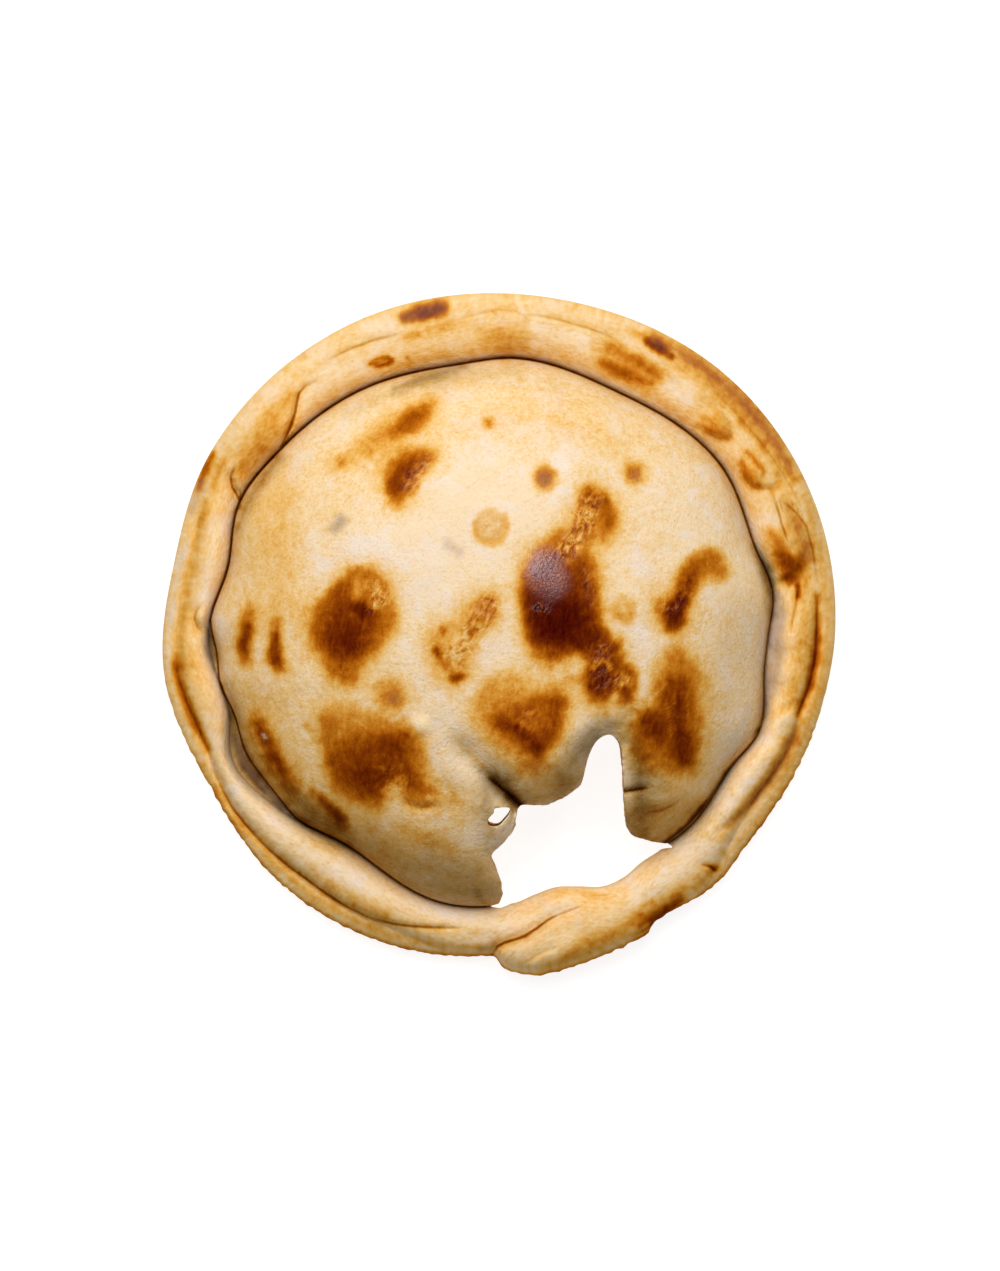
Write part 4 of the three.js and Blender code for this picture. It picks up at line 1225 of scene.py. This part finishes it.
def add(tree, kind, links=None, out=None, **settings):
    """Adds a node with its settings, links or sets its inputs, and gives back one of its outputs."""
    made = tree.nodes.new(kind)
    for name, value in settings.items():
        setattr(made, name, value)
    shown = [socket for socket in made.inputs if socket.enabled]
    for name, value in (links or {}).items():
        socket = shown[name] if isinstance(name, int) else next(s for s in shown if s.name == name)
        if isinstance(value, bpy.types.NodeSocket):
            tree.links.new(value, socket)
        else:
            socket.default_value = value
    given = [socket for socket in made.outputs if socket.enabled]
    return next((s for s in given if out in (None, s.name)), None)


def blister_tree():
    """Raises round blisters, spread at random, where the dough is wrinkled and faces up."""
    tree = bpy.data.node_groups.new("scorch_blisters", "GeometryNodeTree")
    inputs = {}
    for name, kind in (
        ("Crust", "NodeSocketGeometry"), ("Spacing", "NodeSocketFloat"), ("Radius", "NodeSocketFloat"),
        ("Height", "NodeSocketFloat"), ("Seed", "NodeSocketInt"), ("Dough", "NodeSocketMaterial"),
    ):
        inputs[name] = tree.interface.new_socket(name, in_out="INPUT", socket_type=kind).identifier
    tree.interface.new_socket("Crust", in_out="OUTPUT", socket_type="NodeSocketGeometry")
    given = {socket.name: socket for socket in tree.nodes.new("NodeGroupInput").outputs}
    wrinkled = add(tree, "GeometryNodeInputNamedAttribute", {"Name": "wrinkle"}, "Attribute",
                   data_type="FLOAT")
    chance = add(tree, "ShaderNodeMapRange", {
        "Value": wrinkled, "From Min": BLISTER_WRINKLE[0], "From Max": BLISTER_WRINKLE[1],
    })
    spots = add(tree, "GeometryNodeDistributePointsOnFaces", {
        "Mesh": given["Crust"], "Distance Min": given["Spacing"], "Density Max": BLISTER_DENSITY,
        "Density Factor": chance, "Seed": given["Seed"],
    }, "Points", distribute_method="POISSON")
    size = add(tree, "FunctionNodeRandomValue", {
        "Min": BLISTER_SMALLEST, "Max": 1.0, "Seed": given["Seed"],
    }, "Value")
    nearest = add(tree, "GeometryNodeSampleNearest", {0: spots}, domain="POINT")
    size_here = add(tree, "GeometryNodeSampleIndex", {"Geometry": spots, "Value": size, "Index": nearest})
    distance = add(tree, "GeometryNodeProximity", {0: spots}, "Distance", target_element="POINTS")
    reach = add(tree, "ShaderNodeMath", {0: given["Radius"], 1: size_here}, operation="MULTIPLY")
    rise = add(tree, "ShaderNodeMapRange", {"Value": distance, "From Min": reach, "From Max": 0.0},
               interpolation_type="SMOOTHERSTEP")
    normal = add(tree, "GeometryNodeInputNormal", None, "Normal")
    upward = add(tree, "ShaderNodeSeparateXYZ", {0: normal}, "Z")
    on_top = add(tree, "ShaderNodeMapRange", {
        "Value": upward, "From Min": BLISTER_LEVEL[0], "From Max": BLISTER_LEVEL[1],
    })
    for factor in (given["Height"], size_here, on_top):
        rise = add(tree, "ShaderNodeMath", {0: rise, 1: factor}, operation="MULTIPLY")
    push = add(tree, "ShaderNodeVectorMath", {0: normal, "Scale": rise}, operation="SCALE")
    raised = add(tree, "GeometryNodeSetPosition", {"Geometry": given["Crust"], "Offset": push})
    whole = add(tree, "GeometryNodeRealizeInstances", {"Geometry": raised})
    finished = add(tree, "GeometryNodeSetMaterial", {"Geometry": whole, "Material": given["Dough"]})
    add(tree, "NodeGroupOutput", {"Crust": finished})
    return tree, inputs


def raise_blisters(crust, dough):
    """Raises the blisters and turns the crust into a plain mesh again."""
    tree, inputs = blister_tree()
    blisters = crust.modifiers.new("scorch_blisters", "NODES")
    blisters.node_group = tree
    blisters[inputs["Spacing"]] = BLISTER_SPACING * MM
    blisters[inputs["Radius"]] = BLISTER_RADIUS * MM
    blisters[inputs["Height"]] = BLISTER_HEIGHT * MM
    blisters[inputs["Seed"]] = BLISTER_SEED
    blisters[inputs["Dough"]] = dough
    applied(crust)


# Colour of the dough as it bakes, from cream through gold to black-red.
BAKED_STOPS = [
    (0.0, "#f9deb9"), (0.12, "#f5d39f"), (0.25, "#efbf72"), (0.36, "#e3a545"), (0.46, "#cf7e1e"),
    (0.56, "#b2600a"), (0.66, "#924205"), (0.78, "#6e2603"), (0.89, "#541304"), (1.0, "#3a0504"),
]

# Coordinates that draw a pattern out: name, turn in degrees, and length against width.
DRAWN_OUT = [("streaks", 58, 1.9), ("fibres", 82, 2.6)]

# Patterns of the dough: name, coordinates, size in millimetres, detail and distortion.
PATTERNS = [
    ("mottle", "place", 9.0, 3.0, 0.0),
    ("bloom", "place", 6.0, 4.0, 0.5),
    ("skin", "place", 2.2, 3.0, 0.6),
    ("speck", "grain", 1.1, 3.0, 0.4),
    ("pore", "grain", 0.5, 2.0, 0.0),
    ("streak", "streaks", 0.95, 3.0, 0.6),
    ("fibre", "fibres", 1.0, 4.0, 0.8),
]

# Shares that follow a mark or a pattern: name, source, its start and end, and the share at each.
SHARES = [
    # A crease carries a thin painted dark shade line, pale dough is grainy, and wrinkled skin crumples.
    ("thin", "apart", 0.1, 0.38, 1.0, 0.0),
    ("grainy", "brown", 0.1, 0.45, 0.32, 0.12),
    ("crumpled", "wrinkle", 0.15, 0.9, 0.0, 2.2),
    # Flour leaves whitish clouds and grit on the pale dough, though not where shade is painted.
    ("pale", "brown", 0.05, 0.3, 1.0, 0.0),
    ("unshaded", "fold", 0.0, 0.5, 1.0, 0.0),
    ("cloud", "bloom", 0.0, 0.16, 0.0, 1.0),
    ("dots", "pore", 0.1, 0.25, 0.0, 1.0),
    ("specular", "gloss_and_painted_sheen", 0.0, 1.0, 0.0, 0.5),
]
# How sharply the painted shade in folds darkens the colour.
PAINTED_SHADE_POWER = 1.35

# Products: name and the two that are multiplied.
PRODUCTS = [
    ("crease", "thin", "line"),
    ("edge", "brown", "unbaked"),
    ("fray", "edge", 0.3),
    ("woven", "brown", 0.36),
    # Wrinkled skin is paler on its ridges, partly as painted glints.
    ("crinkle", "wrinkle", -1.0),
    ("dusted", "pale", "unshaded"),
    ("flour", "cloud", "dusted"),
    ("grit", "dots", "dusted"),
    ("pebbled", "gloss_and_painted_sheen", 0.25),
    ("crumb", "torn", 3.0),
    ("damp", "wrinkle", 0.34),
]

# What adds to the browning and to the fine relief: a pattern or mark, and its share.
TONE_PARTS = [
    ("skin", "fray"), ("fibre", "woven"), ("streak", "crinkle"), ("speck", "grainy"), ("pore", "grainy"),
    # The painted shade of folds and the painted crease lines also push the tone browner.
    ("mottle", 0.2), ("skin", 0.06), ("fold", 0.2), ("crease", 0.35),
]
RELIEF_PARTS = [
    ("streak", "crumpled"), ("skin", "matt"), ("speck", "matt"), ("pore", "matt"), ("pore", "pebbled"),
    ("skin", "crumb"),
]
RELIEF_DEPTH = 0.3

# Tints over the baked colour, from the lowest up: what they cover, their colour and strength. Some are
# painted sheen, highlights and shade.
TINTS = [
    ("flour", "#f3e8e4", 0.48),
    ("grit", "#8f8172", 0.14),
    # A painted lilac sheen over the oily shoulder.
    ("gloss_and_painted_sheen", "#7c5a6c", 0.34),
    # Grey smudges, partly painted shade.
    ("ash_and_painted_shade", "#86685f", 0.75),
    # Cream flecks, partly painted highlights.
    ("fleck_and_painted_highlight", "#f8dcae", 0.95),
    ("torn", "#e2bd84", 0.8),
    # Painted shade of folds, pockets and corners, and the painted dark shade line in creases.
    ("deep_painted_shade", "#2c1a10", 0.92),
    ("crease", "#2e1609", 0.6),
]

# Dough has the refraction of starch and fat, and lets a little light through.
DOUGH_IOR = 1.45
OIL_ROUGHNESS = 0.16
TRANSLUCENCE = 0.12
LIGHT_DEPTH = 1.0
LIGHT_SPREAD = (2.0, 1.0, 0.5)


def dough_marks(tree):
    """What is stored on the crust, by name."""
    names = ("brown", "ash_and_painted_shade", "fleck_and_painted_highlight", "wrinkle", "fold", "torn", "line", "line_gap", "gloss_and_painted_sheen")
    return {name: add(tree, "ShaderNodeAttribute", None, "Fac", attribute_name=name) for name in names}


def dough_patterns(tree):
    """The dough's patterns, each about 0, by name."""
    place = add(tree, "ShaderNodeTexCoord", None, "Object")
    grain = add(tree, "ShaderNodeAttribute", None, "Vector", attribute_name="grain")
    coordinates = {"place": place, "grain": grain}
    for name, turn, stretch in DRAWN_OUT:
        coordinates[name] = add(tree, "ShaderNodeMapping", {
            "Vector": place, "Rotation": (0, 0, math.radians(turn)), "Scale": (stretch, 1, 1),
        }, vector_type="TEXTURE")
    patterns = {}
    for name, where, size, detail, distortion in PATTERNS:
        texture = add(tree, "ShaderNodeTexNoise", {
            "Vector": coordinates[where], "Scale": 1 / (size * MM), "Detail": detail,
            "Distortion": distortion,
        })
        patterns[name] = add(tree, "ShaderNodeMath", {0: texture, 1: 0.5}, operation="SUBTRACT")
    return patterns


def summed(tree, known, total, parts):
    """A total with parts added, each times its share."""
    for name, share in parts:
        part = add(tree, "ShaderNodeMath", {0: known[name], 1: known.get(share, share)}, operation="MULTIPLY")
        total = add(tree, "ShaderNodeMath", {0: total, 1: part}, operation="ADD")
    return total


def baked_colour(tree, known, tone):
    """The colour of the dough for its tone, with the tints over it."""
    colour = add(tree, "ShaderNodeValToRGB", {"Fac": tone}, "Color")
    stops = colour.node.color_ramp.elements
    while len(stops) < len(BAKED_STOPS):
        stops.new(1.0)
    for stop, (position, shade) in zip(stops, BAKED_STOPS):
        stop.position = position
        stop.color = srgb(shade)
    for cover, tint, strength in TINTS:
        amount = add(tree, "ShaderNodeMath", {0: known[cover], 1: strength}, operation="MULTIPLY")
        colour = add(tree, "ShaderNodeMix", {"Factor": amount, "A": colour, "B": srgb(tint)}, "Result",
                     data_type="RGBA")
    return colour


def baked_dough():
    """Wheat dough baked in a hot oven: matt and cream where pale, through gold to a shiny dark scorch."""
    material = bpy.data.materials.new("baked_wheat_dough")
    material.use_nodes = True
    tree = material.node_tree
    tree.nodes.clear()
    known = {**dough_marks(tree), **dough_patterns(tree)}
    known["unbaked"] = add(tree, "ShaderNodeMath", {0: 1.0, 1: known["brown"]}, operation="SUBTRACT")
    known["apart"] = add(tree, "ShaderNodeMath", {0: known["line_gap"]}, operation="ABSOLUTE")
    known["deep_painted_shade"] = add(tree, "ShaderNodeMath", {0: known["fold"], 1: PAINTED_SHADE_POWER}, operation="POWER")
    for name, source, start, end, first, last in SHARES:
        known[name] = add(tree, "ShaderNodeMapRange", {
            "Value": known[source], "From Min": start, "From Max": end, "To Min": first, "To Max": last,
        })
    for name, one, other in PRODUCTS:
        known[name] = add(tree, "ShaderNodeMath", {0: known[one], 1: known.get(other, other)},
                          operation="MULTIPLY")
    tone = summed(tree, known, known["brown"], TONE_PARTS)
    # Scorched dough is smoother than pale dough, and shinier.
    known["matt"] = add(tree, "ShaderNodeMapRange", {
        "Value": tone, "From Min": 0.2, "From Max": 0.7, "To Min": 0.46, "To Max": 0.1,
    })
    roughness = add(tree, "ShaderNodeMapRange", {
        "Value": tone, "From Min": 0.15, "From Max": 0.6, "To Min": 0.65, "To Max": 0.4,
    })
    relief = summed(tree, known, 0.0, RELIEF_PARTS)
    normal = add(tree, "ShaderNodeBump", {
        "Strength": 1.0, "Distance": RELIEF_DEPTH * MM, "Height": relief,
    }, "Normal")
    oil = add(tree, "ShaderNodeMath", {0: known["damp"], 1: known["gloss_and_painted_sheen"]}, operation="ADD", use_clamp=True)
    shader = add(tree, "ShaderNodeBsdfPrincipled", {
        "Base Color": baked_colour(tree, known, tone), "Roughness": roughness, "IOR": DOUGH_IOR,
        "Specular IOR Level": known["specular"], "Normal": normal, "Coat Weight": oil,
        "Coat Roughness": OIL_ROUGHNESS, "Coat IOR": DOUGH_IOR, "Coat Normal": normal,
        "Subsurface Weight": TRANSLUCENCE, "Subsurface Scale": LIGHT_DEPTH * MM,
        "Subsurface Radius": LIGHT_SPREAD,
    })
    add(tree, "ShaderNodeOutputMaterial", {"Surface": shader})
    return material


# The floor and the studio light.
FLOOR_RADIUS = 2000.0
FLOOR_SIDES = 96
FLOOR_DROP = 0.2
FLOOR_COLOUR = "#8a8988"
FLOOR_ROUGHNESS = 0.9
FLOOR_GLOW = 0.88
WHITE = (1, 1, 1, 1)
SKY_STRENGTH = 0.06
SOFTBOX_SIZE = (900.0, 800.0)
SOFTBOX_PLACE = (-80.0, 570.0, 1140.0)
SOFTBOX_POWER = 17.6


def pale_floor():
    """Matt white card that glows as a light table does, so that the torn gap shows pale."""
    material = bpy.data.materials.new("white_light_table")
    material.use_nodes = True
    shader = material.node_tree.nodes["Principled BSDF"]
    shader.inputs["Base Color"].default_value = srgb(FLOOR_COLOUR)
    shader.inputs["Roughness"].default_value = FLOOR_ROUGHNESS
    shader.inputs["Emission Color"].default_value = WHITE
    shader.inputs["Emission Strength"].default_value = FLOOR_GLOW
    return material


def build_crust():
    crust = new_mesh("baked_crust", *crust_shell())
    tear(crust, [new_mesh("mouth_plug", *mouth_plug()), new_mesh("eyelet_plug", *eyelet_plug())])
    paint(crust)
    raise_blisters(crust, baked_dough())
    crust.data.polygons.foreach_set("use_smooth", np.ones(len(crust.data.polygons), bool))
    return crust


def build_floor():
    bpy.ops.mesh.primitive_circle_add(
        vertices=FLOOR_SIDES, radius=FLOOR_RADIUS * MM, fill_type="NGON", location=(0, 0, -FLOOR_DROP * MM))
    floor = bpy.context.object
    floor.name = "floor"
    floor.data.materials.append(pale_floor())


def build_lights():
    world = bpy.data.worlds.new("studio")
    world.use_nodes = True
    sky = world.node_tree.nodes["Background"]
    sky.inputs["Color"].default_value = WHITE
    sky.inputs["Strength"].default_value = SKY_STRENGTH
    bpy.context.scene.world = world
    light = bpy.data.lights.new("softbox", "AREA")
    light.shape = "RECTANGLE"
    light.size, light.size_y = (side * MM for side in SOFTBOX_SIZE)
    light.energy = SOFTBOX_POWER
    softbox = bpy.data.objects.new("softbox", light)
    softbox.location = Vector(SOFTBOX_PLACE) * MM
    softbox.rotation_euler = (-softbox.location).to_track_quat("-Z", "Y").to_euler()
    bpy.context.scene.collection.objects.link(softbox)


def build_camera():
    data = bpy.data.cameras.new("above")
    data.lens = LENS
    data.sensor_width = SENSOR
    camera = bpy.data.objects.new("above", data)
    camera.location = ((AIM[0] - PLAN_CENTRE[0]) * MM, (AIM[1] - PLAN_CENTRE[1]) * MM, VIEW_HEIGHT * MM)
    bpy.context.scene.collection.objects.link(camera)
    bpy.context.scene.camera = camera


bpy.context.scene.view_settings.view_transform = "Standard"
crust = build_crust()
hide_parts(NODE)
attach(crust, "root")
build_floor()
build_lights()
build_camera()
